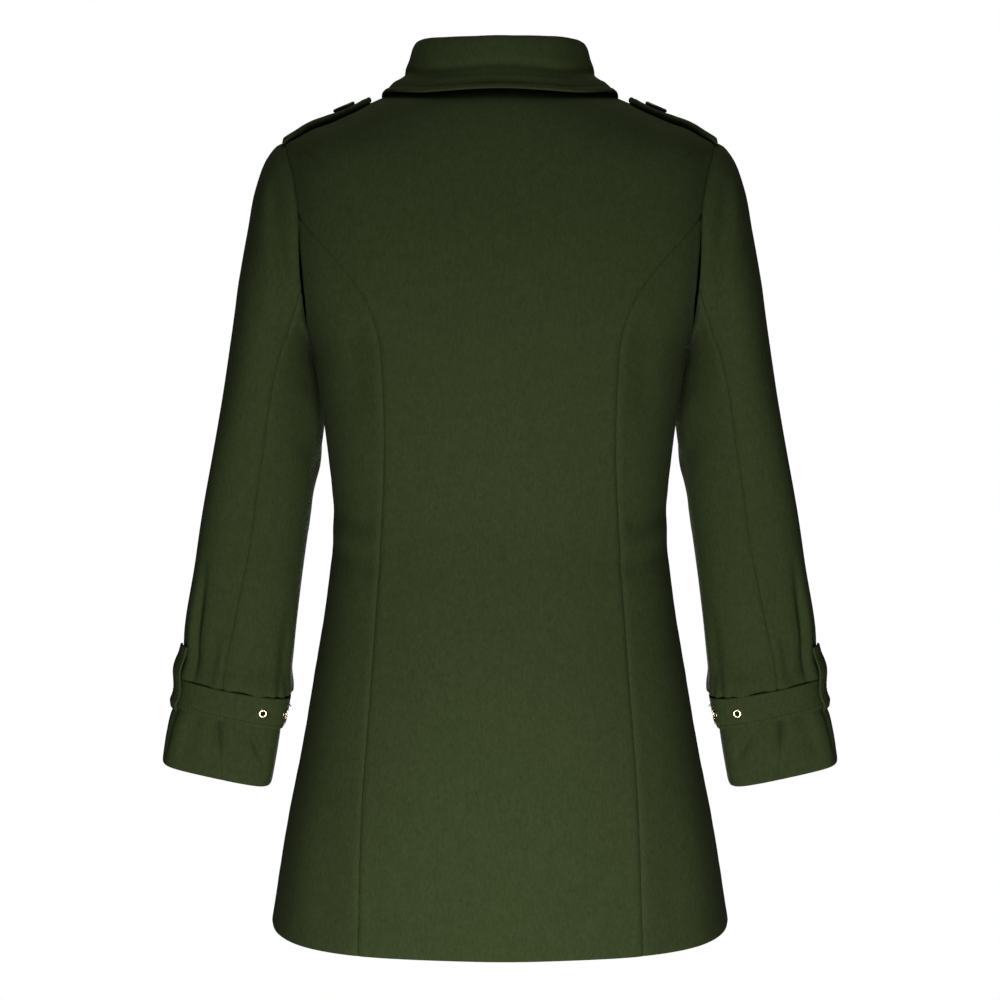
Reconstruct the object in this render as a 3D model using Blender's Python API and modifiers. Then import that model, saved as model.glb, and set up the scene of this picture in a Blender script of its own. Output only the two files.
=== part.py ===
"""A woman's thigh-length wool coat, in the hollow shape it has when it is worn.

Metres. +Z is up, +X is the wearer's left and -Y is the wearer's front. The origin lies midway
between the two neck points, where the shoulder seams meet the collar. The left half is worked
out from the tables below and mirrored in X, apart from the overlap of the fronts.
"""

import math
from collections import namedtuple

import bmesh
import bpy
import numpy as np
from mathutils import Matrix, Vector

CLOTH = 0.0025
COLLAR_CLOTH = 0.0024
SEAM_GAP = 0.0004
MIRROR_X = np.array([-1.0, 1.0, 1.0])

# Sections of the body, from the neck seam to the hem. A section is a ring round the body:
# its half width and height at the side, its depth and height at the centre back and centre
# front, and how far its corners are squared.
Section = namedtuple("Section", "side_x side_z back_y back_z front_y front_z square")
BODY = (
    Section(0.0750, 0.0005, 0.0620, -0.0020, 0.0780, -0.0700, 0.02),
    Section(0.1130, -0.0163, 0.0780, -0.0140, 0.0920, -0.0830, 0.04),
    Section(0.1530, -0.0335, 0.0920, -0.0400, 0.1040, -0.1000, 0.07),
    Section(0.1960, -0.0515, 0.1040, -0.0780, 0.1130, -0.1220, 0.10),
    Section(0.2035, -0.0880, 0.1130, -0.1150, 0.1220, -0.1480, 0.10),
    Section(0.2035, -0.1300, 0.1180, -0.1500, 0.1330, -0.1780, 0.10),
    Section(0.1925, -0.1800, 0.1200, -0.1900, 0.1430, -0.2100, 0.10),
    Section(0.1745, -0.2220, 0.1190, -0.2260, 0.1465, -0.2400, 0.10),
    Section(0.1680, -0.2620, 0.1150, -0.2640, 0.1450, -0.2720, 0.10),
    Section(0.1590, -0.3220, 0.1055, -0.3220, 0.1350, -0.3250, 0.10),
    Section(0.1526, -0.3980, 0.0955, -0.3980, 0.1225, -0.3980, 0.10),
    Section(0.1590, -0.4660, 0.1030, -0.4660, 0.1240, -0.4660, 0.10),
    Section(0.1722, -0.5460, 0.1160, -0.5460, 0.1280, -0.5460, 0.11),
    Section(0.1930, -0.6600, 0.1280, -0.6600, 0.1330, -0.6600, 0.12),
    Section(0.2127, -0.7790, 0.1370, -0.7790, 0.1380, -0.7790, 0.13),
)
TIP_SECTION = 3
PIT_SECTION = 7

# The armhole's distance from the middle of the body, by the share of the way from the shoulder
# tip to the underarm.
Armhole = namedtuple("Armhole", "share x")
ARMHOLE = (
    Armhole(0.00, 0.1960),
    Armhole(0.06, 0.1925),
    Armhole(0.17, 0.1862),
    Armhole(0.30, 0.1822),
    Armhole(0.45, 0.1808),
    Armhole(0.65, 0.1788),
    Armhole(0.85, 0.1765),
    Armhole(1.00, 0.1745),
)
ARMHOLE_STEPS = 12
PRINCESS_STEP = 5
SIDE_BACK_TIP = 0.12

# The back princess seam below the armhole: its height and its distance from the centre back.
SeamPoint = namedtuple("SeamPoint", "z x")
PRINCESS = (
    SeamPoint(-0.1100, 0.1850),
    SeamPoint(-0.1220, 0.1755),
    SeamPoint(-0.1350, 0.1620),
    SeamPoint(-0.1550, 0.1430),
    SeamPoint(-0.1800, 0.1240),
    SeamPoint(-0.2150, 0.1095),
    SeamPoint(-0.2600, 0.1050),
    SeamPoint(-0.3200, 0.1040),
    SeamPoint(-0.3980, 0.1075),
    SeamPoint(-0.5000, 0.1145),
    SeamPoint(-0.6400, 0.1245),
    SeamPoint(-0.7790, 0.1290),
)

# Rings of the left sleeve below the armhole: the outer and inner points of the ring, its depth
# towards the back and the front, and how far forward its inner point lies, as the arm does.
Ring = namedtuple("Ring", "out_x out_z in_x in_z back_y front_y square forward")
SLEEVE = (
    Ring(0.2090, -0.0640, 0.1753, -0.2245, 0.0640, 0.0700, 0.04, 0.000),
    Ring(0.2215, -0.0920, 0.1758, -0.2280, 0.0650, 0.0780, 0.05, 0.004),
    Ring(0.2300, -0.1320, 0.1752, -0.2350, 0.0640, 0.0860, 0.05, 0.014),
    Ring(0.2380, -0.1780, 0.1722, -0.2470, 0.0610, 0.0910, 0.05, 0.028),
    Ring(0.2445, -0.2250, 0.1670, -0.2680, 0.0560, 0.0910, 0.05, 0.040),
    Ring(0.2520, -0.2720, 0.1630, -0.3000, 0.0490, 0.0860, 0.05, 0.044),
    Ring(0.2600, -0.3160, 0.1655, -0.3350, 0.0430, 0.0760, 0.06, 0.040),
    Ring(0.2680, -0.3620, 0.1722, -0.3780, 0.0370, 0.0670, 0.08, 0.030),
    Ring(0.2803, -0.4320, 0.1824, -0.4500, 0.0340, 0.0620, 0.10, 0.018),
    Ring(0.2922, -0.5000, 0.1911, -0.5180, 0.0310, 0.0580, 0.12, 0.008),
    Ring(0.2935, -0.5330, 0.1957, -0.5520, 0.0300, 0.0560, 0.14, 0.004),
    Ring(0.2972, -0.5620, 0.2012, -0.5830, 0.0280, 0.0530, 0.16, 0.000),
    Ring(0.3045, -0.5760, 0.2045, -0.5980, 0.0280, 0.0525, 0.18, 0.000),
    Ring(0.3100, -0.5960, 0.2080, -0.6180, 0.0280, 0.0520, 0.22, 0.000),
    Ring(0.3150, -0.6250, 0.2135, -0.6470, 0.0280, 0.0520, 0.26, 0.000),
)

# The sleeve's two seams, as angles round it from the outer side, by distance down the sleeve.
SleeveSeam = namedtuple("SleeveSeam", "down back front")
SLEEVE_SEAMS = (
    SleeveSeam(0.00, 120, -120),
    SleeveSeam(0.07, 126, -122),
    SleeveSeam(0.15, 108, -122),
    SleeveSeam(0.24, 93, -118),
    SleeveSeam(0.34, 90, -115),
    SleeveSeam(0.44, 82, -112),
    SleeveSeam(0.60, 80, -112),
)

# Soft folds of the lower sleeve: where each runs, in metres up from the cuff's hem, its angle
# at the lower and upper end, its half width in degrees and its depth. Ridges have a minus.
Fold = namedtuple("Fold", "low high low_angle high_angle half_width depth")
SLEEVE_FOLDS = (
    Fold(0.078, 0.200, 48, 42, 15, 0.0030),
    Fold(0.078, 0.150, 92, 96, 12, 0.0016),
    Fold(0.078, 0.180, 150, 140, 16, 0.0022),
    Fold(0.078, 0.170, -40, -30, 16, 0.0026),
    Fold(0.078, 0.160, -110, -105, 16, 0.0022),
    Fold(0.000, 0.052, 95, 98, 11, 0.0014),
    Fold(0.008, 0.050, 140, 118, 11, 0.0014),
    Fold(0.000, 0.052, 45, 50, 13, 0.0016),
    Fold(0.000, 0.050, -60, -50, 14, 0.0016),
    Fold(0.000, 0.050, -125, -135, 14, 0.0016),
)

STRAP_CENTRE = 0.0700
STRAP_WIDTH = 0.029
STRAP_CLOTH = 0.0030
STRAP_PINCH = 0.0012


def spline_weights(knots, at):
    """Weight of each knot's value on the smooth curve through all of them, at each place."""
    knots = np.asarray(knots, float)
    at = np.clip(np.asarray(at, float), knots[0], knots[-1])
    count = len(knots)
    steps = np.diff(knots)
    tangents = np.zeros((count, count))
    tangents[0, :2] = [-1 / steps[0], 1 / steps[0]]
    tangents[-1, -2:] = [-1 / steps[-1], 1 / steps[-1]]
    for i in range(1, count - 1):
        before, after = steps[i - 1], steps[i]
        tangents[i, i - 1] = -after / (before * (before + after))
        tangents[i, i + 1] = before / (after * (before + after))
        tangents[i, i] = -tangents[i, i - 1] - tangents[i, i + 1]
    i = np.clip(np.searchsorted(knots, at, side="right") - 1, 0, count - 2)
    step = steps[i]
    s = (at - knots[i]) / step
    one = np.eye(count)
    start = (2 * s**3 - 3 * s**2 + 1)[..., None] * one[i]
    start_slope = ((s**3 - 2 * s**2 + s) * step)[..., None] * tangents[i]
    end = (3 * s**2 - 2 * s**3)[..., None] * one[i + 1]
    end_slope = ((s**3 - s**2) * step)[..., None] * tangents[i + 1]
    return start + start_slope + end + end_slope


def smooth_step(x, low, high):
    s = np.clip((np.asarray(x, float) - low) / (high - low), 0, 1)
    return s * s * (3 - 2 * s)


def distances_down(points):
    steps = np.linalg.norm(np.diff(points, axis=0), axis=1)
    return np.concatenate([[0.0], np.cumsum(steps)])


def unit(vectors):
    return vectors / np.linalg.norm(vectors, axis=-1, keepdims=True)


BODY_TABLE = np.array(BODY)
BODY_DOWN = distances_down(BODY_TABLE[:, :2])
TIP = BODY_DOWN[TIP_SECTION]
PIT = BODY_DOWN[PIT_SECTION]
HEM = BODY_DOWN[-1]


def body(angle, down):
    """Point of the body's outer surface. The angle is 0 at the wearer's left and a quarter
    turn at the back; down is the distance from the neck along the side."""
    sizes = spline_weights(BODY_DOWN, down) @ BODY_TABLE
    side_x, side_z, back_y, back_z, front_y, front_z, square = np.moveaxis(sizes, -1, 0)
    sin, cos = np.sin(angle), np.cos(angle)
    depth = np.where(sin > 0, back_y, front_y)
    middle_z = np.where(sin > 0, back_z, front_z)
    x = side_x * cos * (1 + square * sin**2)
    y = depth * sin * (1 + square * cos**2)
    z = side_z + (middle_z - side_z) * sin**2
    return np.stack([x, y, z], axis=-1)


def normals(surface, across, down):
    """Outward normals of a surface whose first parameter turns anticlockwise seen from above."""
    turn, drop = 1e-3, 2e-5
    along = surface(across + turn, down) - surface(across - turn, down)
    fall = surface(across, down + drop) - surface(across, down - drop)
    return unit(np.cross(fall, along))


def angle_at_x(x, down, front=False):
    """Angle on the back, or on the front, at which the body's surface is x from the middle."""
    x, down = np.broadcast_arrays(np.asarray(x, float), np.asarray(down, float))
    low, high = np.zeros(x.shape), np.full(x.shape, math.pi)
    sign = -1 if front else 1
    for _ in range(40):
        middle = (low + high) / 2
        outside = body(sign * middle, down)[..., 0] > x
        low, high = np.where(outside, middle, low), np.where(outside, high, middle)
    return sign * (low + high) / 2


def side_gap_angle(down):
    """Half a seam's gap at the shoulder or side seam, as an angle."""
    sizes = spline_weights(BODY_DOWN, down) @ BODY_TABLE
    return SEAM_GAP / 2 / sizes[..., 2]


def armhole_down(step):
    """Distance down to one of the armhole's steps, which are closer at its top and bottom."""
    return TIP + (PIT - TIP) * (1 - np.cos(np.pi * step / ARMHOLE_STEPS)) / 2


def armhole_angle(down, front=False):
    table = np.array(ARMHOLE)
    share = (down - TIP) / (PIT - TIP)
    x = spline_weights(table[:, 0], share) @ table[:, 1]
    angle = np.abs(angle_at_x(x, down, front))
    angle = np.where((share <= 0) | (share >= 1), 0, angle)
    return np.maximum(angle, side_gap_angle(down))


SHOULDER_ROWS = np.linspace(0, TIP, 5)[:-1]
ARMHOLE_ROWS = armhole_down(np.arange(ARMHOLE_STEPS + 1))
SKIRT_ROWS = PIT + (HEM - PIT) * np.linspace(0, 1, 14)[1:] ** 1.35
BODY_ROWS = np.concatenate([SHOULDER_ROWS, ARMHOLE_ROWS, SKIRT_ROWS])
PRINCESS_ROW = len(SHOULDER_ROWS) + PRINCESS_STEP


def princess_angle(down, gap):
    """Angle of the princess seam on the back at each row, moved out by the gap."""
    table = np.array(PRINCESS)
    low, high = np.zeros(down.shape), np.full(down.shape, math.pi / 2)
    for _ in range(40):
        middle = (low + high) / 2
        point = body(middle, down)
        seam_x = spline_weights(-table[:, 0], -point[..., 2]) @ table[:, 1]
        outside = point[..., 0] > seam_x + gap
        low, high = np.where(outside, middle, low), np.where(outside, high, middle)
    return (low + high) / 2


def collection(name):
    made = bpy.data.collections.new(name)
    bpy.context.scene.collection.children.link(made)
    return made


def material(name, colour, roughness, metallic=0.0):
    made = bpy.data.materials.new(name)
    made.use_nodes = True
    shader = made.node_tree.nodes["Principled BSDF"]
    shader.inputs["Base Color"].default_value = (*colour, 1)
    shader.inputs["Roughness"].default_value = roughness
    shader.inputs["Metallic"].default_value = metallic
    made.diffuse_color = (*colour, 1)
    return made


def add_mesh(name, mesh, finish, group, smooth_angle=40):
    obj = bpy.data.objects.new(name, mesh)
    mesh.materials.append(finish)
    mesh.shade_smooth()
    mesh.set_sharp_from_angle(angle=math.radians(smooth_angle))
    group.objects.link(obj)
    return obj


def wall(name, outer, inner, finish, group):
    """A closed wall of cloth between two grids of points, rows down and columns across."""
    rows, columns = outer.shape[:2]
    mesh = bpy.data.meshes.new(name)
    shape = bmesh.new()
    skins = [[[shape.verts.new(p) for p in row] for row in grid] for grid in (outer, inner)]
    for r in range(rows - 1):
        for c in range(columns - 1):
            for grid in skins:
                shape.faces.new((grid[r][c], grid[r][c + 1], grid[r + 1][c + 1], grid[r + 1][c]))
    over, under = skins
    edges = (
        [(0, c) for c in range(columns)],
        [(rows - 1, c) for c in range(columns)],
        [(r, 0) for r in range(rows)],
        [(r, columns - 1) for r in range(rows)],
    )
    for edge in edges:
        for (r0, c0), (r1, c1) in zip(edge, edge[1:]):
            shape.faces.new((over[r0][c0], over[r1][c1], under[r1][c1], under[r0][c0]))
    bmesh.ops.recalc_face_normals(shape, faces=shape.faces)
    shape.to_mesh(mesh)
    shape.free()
    return add_mesh(name, mesh, finish, group)


def columns_between(low, high, columns):
    share = np.linspace(0, 1, columns + 1)
    return low[:, None] + (high - low)[:, None] * share


def body_panel(low, high, columns, rows):
    """Outer and inner points of a body panel between two angles, given for each row."""
    angle = columns_between(low, high, columns)
    down = np.broadcast_to(rows[:, None], angle.shape)
    outer = body(angle, down)
    normal = normals(body, angle, down)
    return outer, outer - normal * CLOTH


def side_edge(rows, front=False):
    """Angle of a panel's outer edge: shoulder seam, then armhole, then side seam."""
    in_armhole = (rows > TIP - 1e-9) & (rows < PIT + 1e-9)
    return np.where(in_armhole, armhole_angle(rows, front), side_gap_angle(rows))


def make_backs(wool, group):
    rows = BODY_ROWS
    edge = side_edge(rows)
    seam = princess_angle(rows[PRINCESS_ROW:], -SEAM_GAP / 2)
    edge[PRINCESS_ROW:] = np.maximum(seam, edge[PRINCESS_ROW:])
    outer, inner = body_panel(edge, math.pi - edge, 10, rows)
    wall("back_centre", outer, inner, wool, group)

    rows = BODY_ROWS[PRINCESS_ROW - 1 :].copy()
    rows[0] += (rows[1] - rows[0]) * SIDE_BACK_TIP
    edge = side_edge(rows)
    seam = princess_angle(rows, SEAM_GAP / 2)
    seam[0] = edge[0] + SEAM_GAP / 0.1
    outer, inner = body_panel(edge, seam, 4, rows)
    wall("back_side_left", outer, inner, wool, group)
    wall("back_side_right", outer * MIRROR_X, inner * MIRROR_X, wool, group)


FRONT_EDGE = 0.026
UNDERLAP_EDGE = -0.022
UNDERLAP_START = 0.058
UNDERLAP_DEPTH = CLOTH + 0.0014


def make_fronts(wool, group):
    """The right front laps over the left one, which steps in by a cloth's thickness."""
    rows = BODY_ROWS
    side = -side_edge(rows, front=True)
    meeting = angle_at_x(-FRONT_EDGE, rows, front=True)
    outer, inner = body_panel(meeting, side, 10, rows)
    wall("front_right", outer * MIRROR_X, inner * MIRROR_X, wool, group)

    meeting = angle_at_x(UNDERLAP_EDGE, rows, front=True)
    outer, inner = body_panel(meeting, side, 10, rows)
    step_in = UNDERLAP_DEPTH * (1 - smooth_step(outer[..., :1], FRONT_EDGE + 0.002, UNDERLAP_START))
    sink = unit(inner - outer) * step_in
    wall("front_left", outer + sink, inner + sink, wool, group)


SLEEVE_SEAM_GAP = 0.0006
SLEEVE_RADIUS = 0.045
SLEEVE_TABLE = np.array(SLEEVE)
SLEEVE_CENTRES = np.vstack(
    [
        [0.1853, -0.1368],
        (SLEEVE_TABLE[:, 0:2] + SLEEVE_TABLE[:, 2:4]) / 2,
    ]
)
SLEEVE_DOWN = distances_down(SLEEVE_CENTRES)
CUFF = SLEEVE_DOWN[-1]


def armhole_point(angle):
    """Point of the left armhole: angle 0 at the shoulder tip, a quarter turn at the back."""
    turn = np.arctan2(np.sin(angle), np.cos(angle))
    step = np.abs(turn) * ARMHOLE_STEPS / math.pi
    below, part = np.floor(step), step - np.floor(step)
    ends = []
    for s in (below, np.minimum(below + 1, ARMHOLE_STEPS)):
        down = armhole_down(s)
        back, front = armhole_angle(down), -armhole_angle(down, front=True)
        ends.append(body(np.where(turn > 0, back, front), down))
    return ends[0] + (ends[1] - ends[0]) * part[..., None]


def sleeve_ring(row, angle):
    """Point of one ring of the sleeve: angle 0 on the outer side, a quarter turn at the back."""
    sin, cos = np.sin(angle), np.cos(angle)
    across = cos * (1 + row.square * sin**2)
    depth = np.where(sin > 0, row.back_y, row.front_y)
    x = (row.out_x + row.in_x) / 2 + (row.out_x - row.in_x) / 2 * across
    z = (row.out_z + row.in_z) / 2 + (row.out_z - row.in_z) / 2 * across
    y = depth * sin * (1 + row.square * cos**2) - row.forward * ((1 - cos) / 2) ** 2
    return np.stack([x, y, z], axis=-1)


def plain_sleeve(angle, down):
    weights = spline_weights(SLEEVE_DOWN, down)
    start = armhole_point(angle) + np.array([SEAM_GAP, 0, 0])
    rings = [start] + [sleeve_ring(row, angle) for row in SLEEVE]
    return sum(weights[..., k, None] * ring for k, ring in enumerate(rings))


def fold_depth(angle, down):
    """How far the sleeve's surface lies in from its plain form: folds, and the strap's pinch."""
    up = CUFF - down
    depth = STRAP_PINCH * np.exp(-(((up - STRAP_CENTRE) / (STRAP_WIDTH * 0.6)) ** 4))
    for fold in SLEEVE_FOLDS:
        share = np.clip((up - fold.low) / (fold.high - fold.low), 0, 1)
        middle = np.radians(fold.low_angle + (fold.high_angle - fold.low_angle) * share)
        apart = np.arctan2(np.sin(angle - middle), np.cos(angle - middle))
        across = np.exp(-((apart / math.radians(fold.half_width)) ** 2))
        ends = smooth_step(up, fold.low - 0.006, fold.low + 0.006)
        ends = ends * (1 - smooth_step(up, (fold.low + fold.high) / 2, fold.high))
        depth = depth + fold.depth * across * ends
    return depth


def sleeve(angle, down):
    sizes = spline_weights(SLEEVE_DOWN, down)
    table = np.vstack([SLEEVE_TABLE[0], SLEEVE_TABLE])
    sizes = sizes @ table
    middle = np.stack(
        [
            (sizes[..., 0] + sizes[..., 2]) / 2,
            (sizes[..., 4] - sizes[..., 5]) / 2,
            (sizes[..., 1] + sizes[..., 3]) / 2,
        ],
        axis=-1,
    )
    point = plain_sleeve(angle, down)
    return point + unit(middle - point) * fold_depth(angle, down)[..., None]


SLEEVE_ROWS = np.concatenate(
    [
        np.linspace(0, SLEEVE_DOWN[4], 7)[:-1],
        np.linspace(SLEEVE_DOWN[4], CUFF - 0.16, 7)[:-1],
        CUFF - np.array([0.160, 0.135, 0.112, 0.094, 0.080, 0.068, 0.056, 0.042, 0.022, 0.0]),
    ]
)


def sleeve_panel(low, high, columns, rows=SLEEVE_ROWS):
    angle = columns_between(low, high, columns)
    down = np.broadcast_to(rows[:, None], angle.shape)
    outer = sleeve(angle, down)
    safe_down = np.maximum(down, 1e-4)
    normal = normals(sleeve, angle, safe_down)
    turn = np.arctan2(np.sin(angle[0]), np.cos(angle[0]))
    level = armhole_down(np.abs(turn) * ARMHOLE_STEPS / math.pi)
    back, front = armhole_angle(level), -armhole_angle(level, front=True)
    of_body = normals(body, np.where(turn > 0, back, front), level)
    like_body = 1 - smooth_step(np.abs(turn), math.radians(60), math.radians(120))[:, None]
    normal[0] = unit(of_body * like_body + normal[0] * (1 - like_body))
    return outer, outer - normal * CLOTH


def seam_angles(rows):
    table = np.array(SLEEVE_SEAMS)
    return np.radians((spline_weights(table[:, 0], rows) @ table[:, 1:]).T)


def make_sleeves(wool, group):
    back, front = seam_angles(SLEEVE_ROWS)
    half_gap = SLEEVE_SEAM_GAP / 2 / SLEEVE_RADIUS
    panels = {
        "sleeve_top": sleeve_panel(front + half_gap, back - half_gap, 16),
        "sleeve_under": sleeve_panel(back + half_gap, front + 2 * math.pi - half_gap, 8),
    }
    for name, (outer, inner) in panels.items():
        wall(name + "_left", outer, inner, wool, group)
        wall(name + "_right", outer * MIRROR_X, inner * MIRROR_X, wool, group)


# Stations of the collar round the neck, from the front end to the centre back. Each gives the
# top of the fold, then the fall's belly, lip and edge, as distance out from the neck seam and
# height. The slide moves the fall's edge round towards the shoulder, which makes the point.
Station = namedtuple(
    "Station", "angle fold_r fold_z belly_r belly_z lip_r lip_z edge_r edge_z slide"
)
COLLAR = (
    Station(-89, 0.0000, -0.0340, 0.0110, -0.0580, 0.0190, -0.0790, 0.0270, -0.1000, 0.050),
    Station(-45, 0.0000, 0.0060, 0.0100, -0.0140, 0.0190, -0.0310, 0.0340, -0.0450, 0.012),
    Station(0, 0.0000, 0.0350, 0.0085, 0.0160, 0.0175, -0.0005, 0.0318, -0.0108, 0.000),
    Station(45, -0.0005, 0.0405, 0.0065, 0.0180, 0.0115, 0.0015, 0.0215, -0.0085, 0.000),
    Station(90, -0.0005, 0.0425, 0.0052, 0.0190, 0.0075, 0.0030, 0.0140, -0.0058, 0.000),
)
FOLD_RADIUS = 0.0032
COLLAR_STEPS = (0, 0.8, 1.5, 2, 2.5, 3, 3.5, 4, 4.6, 5.3, 6, 6.5, 7)
COLLAR_COLUMNS = 32
COLLAR_CLEARANCE = 0.0010
COLLAR_FOOT_GAP = 0.0010


def collar_stations():
    half = np.array(COLLAR)
    other = half[-2::-1].copy()
    other[:, 0] = 180 - other[:, 0]
    other[:, -1] *= -1
    return np.vstack([half, other])


def collar(angle, step):
    """Point of the collar's middle layer: step 0 at the neck seam, 3 on the fold, 7 on the edge."""
    stations = collar_stations()
    sizes = spline_weights(np.radians(stations[:, 0]), angle) @ stations
    _, fold_r, fold_z, belly_r, belly_z, lip_r, lip_z, edge_r, edge_z, slide = np.moveaxis(
        sizes, -1, 0
    )
    neck = body(angle, np.zeros_like(angle))
    ahead = body(angle + 1e-3, np.zeros_like(angle)) - neck
    ahead[..., 2] = 0
    ahead = unit(ahead)
    out = np.stack([ahead[..., 1], -ahead[..., 0], np.zeros_like(angle)], axis=-1)
    half = COLLAR_CLOTH / 2
    foot_z = neck[..., 2] + COLLAR_FOOT_GAP
    top_z = fold_z - half
    zero = np.zeros_like(angle)
    profile = (
        (zero - half, foot_z, zero),
        (zero - half - 0.0015, (foot_z * 0.45 + top_z * 0.55), zero),
        (fold_r - FOLD_RADIUS, top_z - FOLD_RADIUS * 1.3, zero),
        (fold_r, top_z, zero),
        (fold_r + FOLD_RADIUS, top_z - FOLD_RADIUS * 1.3, slide * 0.02),
        (belly_r - half, belly_z, slide * 0.36),
        (lip_r - half, lip_z, slide * 0.68),
        (edge_r - half, edge_z, slide),
    )
    weights = spline_weights(np.arange(len(profile)), step)
    point = np.zeros(angle.shape + (3,))
    for k, (r, z, along) in enumerate(profile):
        place = neck + out * r[..., None] + ahead * along[..., None]
        place[..., 2] = z
        point = point + weights[..., k, None] * place
    return point


def body_at(x, y):
    """Angle and distance down of the shoulder's surface at x and y, for the wearer's left."""
    low, high = np.zeros(x.shape), np.full(x.shape, BODY_DOWN[TIP_SECTION + 1])
    for _ in range(40):
        down = (low + high) / 2
        sizes = spline_weights(BODY_DOWN, down) @ BODY_TABLE
        depth = np.where(y > 0, sizes[..., 2], sizes[..., 4])
        square = sizes[..., 6]
        angle = np.arcsin(np.clip(y / depth / (1 + square), -1, 1))
        for _ in range(6):
            angle = np.arcsin(np.clip(y / depth / (1 + square * np.cos(angle) ** 2), -1, 1))
        short = body(angle, down)[..., 0] < x
        low, high = np.where(short, down, low), np.where(short, high, down)
    return angle, (low + high) / 2


def resting_collar(angle, step):
    """The collar, with its fall kept clear of the shoulders and fronts it lies on."""
    point = collar(angle, step)
    side = np.sign(point[..., 0])
    across, down = body_at(np.abs(point[..., 0]), point[..., 1])
    surface, normal = body(across, down), normals(body, across, np.maximum(down, 1e-4))
    point[..., 0] *= side
    height = np.sum((point - surface) * normal, axis=-1)
    short = np.maximum(COLLAR_CLOTH / 2 + COLLAR_CLEARANCE - height, 0)
    fall = smooth_step(step, 3.6, 5)
    point = point + normal * (short * fall)[..., None]
    point[..., 0] *= side
    return point


def make_collar(wool, group):
    ends = np.radians([COLLAR[0].angle, 180 - COLLAR[0].angle])
    share = np.linspace(0, 1, COLLAR_COLUMNS + 1)
    step, angle = np.meshgrid(COLLAR_STEPS, ends[0] + (ends[1] - ends[0]) * share, indexing="ij")
    middle = resting_collar(angle, step)
    turn, climb = 1e-3, 1e-3
    along = collar(angle + turn, step) - collar(angle - turn, step)
    up = collar(angle, np.minimum(step + climb, 7)) - collar(angle, np.maximum(step - climb, 0))
    out = unit(np.cross(along, up)) * COLLAR_CLOTH / 2
    wall("collar", middle + out, middle - out, wool, group)


TAB_OUTER_X = 0.1945
TAB_INNER_X = 0.1148
TAB_HALF_WIDTH = 0.0210
TAB_POINT = 0.015
TAB_CLOTH = 0.0050
TAB_SEWN_CLOTH = 0.0028
TAB_LIFT = 0.0022
TAB_BUTTON_X = 0.1385


def tab_surface(x, y):
    """Underside point and normal of the left shoulder tab, which lies on the shoulder."""
    angle, down = body_at(x, y)
    normal = normals(body, angle, np.maximum(down, 1e-4))
    lift = SEAM_GAP + TAB_LIFT * smooth_step(-x, -TAB_OUTER_X + 0.02, -TAB_INNER_X)
    return body(angle, down) + normal * lift[..., None], normal


def make_tabs(wool, group):
    from_point = np.array([0.0, 0.0025, 0.007, TAB_POINT, 0.024, 0.036, 0.048, 0.060, 0.072])
    x = np.append(TAB_INNER_X + from_point, TAB_OUTER_X)
    rise = np.clip((x - TAB_INNER_X) / TAB_POINT, 0, 1)
    half_width = TAB_HALF_WIDTH * (0.30 + 0.70 * np.sqrt(1 - (1 - rise) ** 2))
    share = np.linspace(-1, 1, 7)
    y = half_width[:, None] * share
    x = np.broadcast_to(x[:, None], y.shape)
    under, normal = tab_surface(x, y)
    sewn = smooth_step(x, TAB_OUTER_X - 0.018, TAB_OUTER_X)
    thick = TAB_CLOTH + (TAB_SEWN_CLOTH - TAB_CLOTH) * sewn
    over = under + normal * thick[..., None]
    wall("shoulder_tab_left", over, under, wool, group)
    wall("shoulder_tab_right", over * MIRROR_X, under * MIRROR_X, wool, group)


def strap_frame(angle, up):
    """Point and axes on the left sleeve's plain surface: out, round the sleeve, and up it."""
    angle, up = np.broadcast_arrays(np.asarray(angle, float), np.asarray(up, float))
    down = CUFF - up
    turn, drop = 1e-3, 1e-4
    point = plain_sleeve(angle, down)
    along = unit(plain_sleeve(angle + turn, down) - plain_sleeve(angle - turn, down))
    fall = plain_sleeve(angle, np.minimum(down + drop, CUFF)) - plain_sleeve(angle, down - drop)
    out = unit(np.cross(fall, along))
    return point, out, along, np.cross(out, along)


STRAP_START = math.radians(-118)
STRAP_TAIL = 0.050
STRAP_RADIUS = 0.043
STRAP_LENGTH_ANGLE = 2 * math.pi + STRAP_TAIL / STRAP_RADIUS
UNDER_STRAP = 0.0006
BUCKLE_WIRE = 0.0022
PRONG_WIRE = 0.0016
BUCKLE_LENGTH = 0.020
BUCKLE_SPREAD = STRAP_WIDTH / 2 + 0.0030
HEEL_BAR_ANGLE = 2 * math.pi - 0.115
HEEL_BUMP = 0.0012
STRAP_ROUND = np.concatenate(
    [
        np.linspace(0, HEEL_BAR_ANGLE - 0.70, 27)[:-1],
        np.linspace(HEEL_BAR_ANGLE - 0.70, HEEL_BAR_ANGLE + 0.26, 14)[:-1],
        np.linspace(HEEL_BAR_ANGLE + 0.26, STRAP_LENGTH_ANGLE, 7),
    ]
)


def strap_rise(round_angle):
    """Height of the strap's underside over the sleeve: it climbs over its own start."""
    second_layer = STRAP_CLOTH + 2 * SEAM_GAP
    climb = smooth_step(round_angle, HEEL_BAR_ANGLE - 0.70, HEEL_BAR_ANGLE)
    over_heel = np.exp(-(((round_angle - HEEL_BAR_ANGLE) / 0.13) ** 2))
    return UNDER_STRAP + second_layer * climb + HEEL_BUMP * over_heel


def strap_place(round_angle, across, height):
    """Point at a height over the strap's underside, across being up the sleeve from its middle."""
    point, out, _, _ = strap_frame(STRAP_START + round_angle, STRAP_CENTRE + across)
    return point + out * (strap_rise(round_angle) + height)[..., None]


EYELET_HOLE = 0.0029
EYELET_ANGLES = np.array([np.radians(241), np.radians(279), HEEL_BAR_ANGLE - 0.170])
EYELET_NAMES = ("a", "b", "c")


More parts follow.
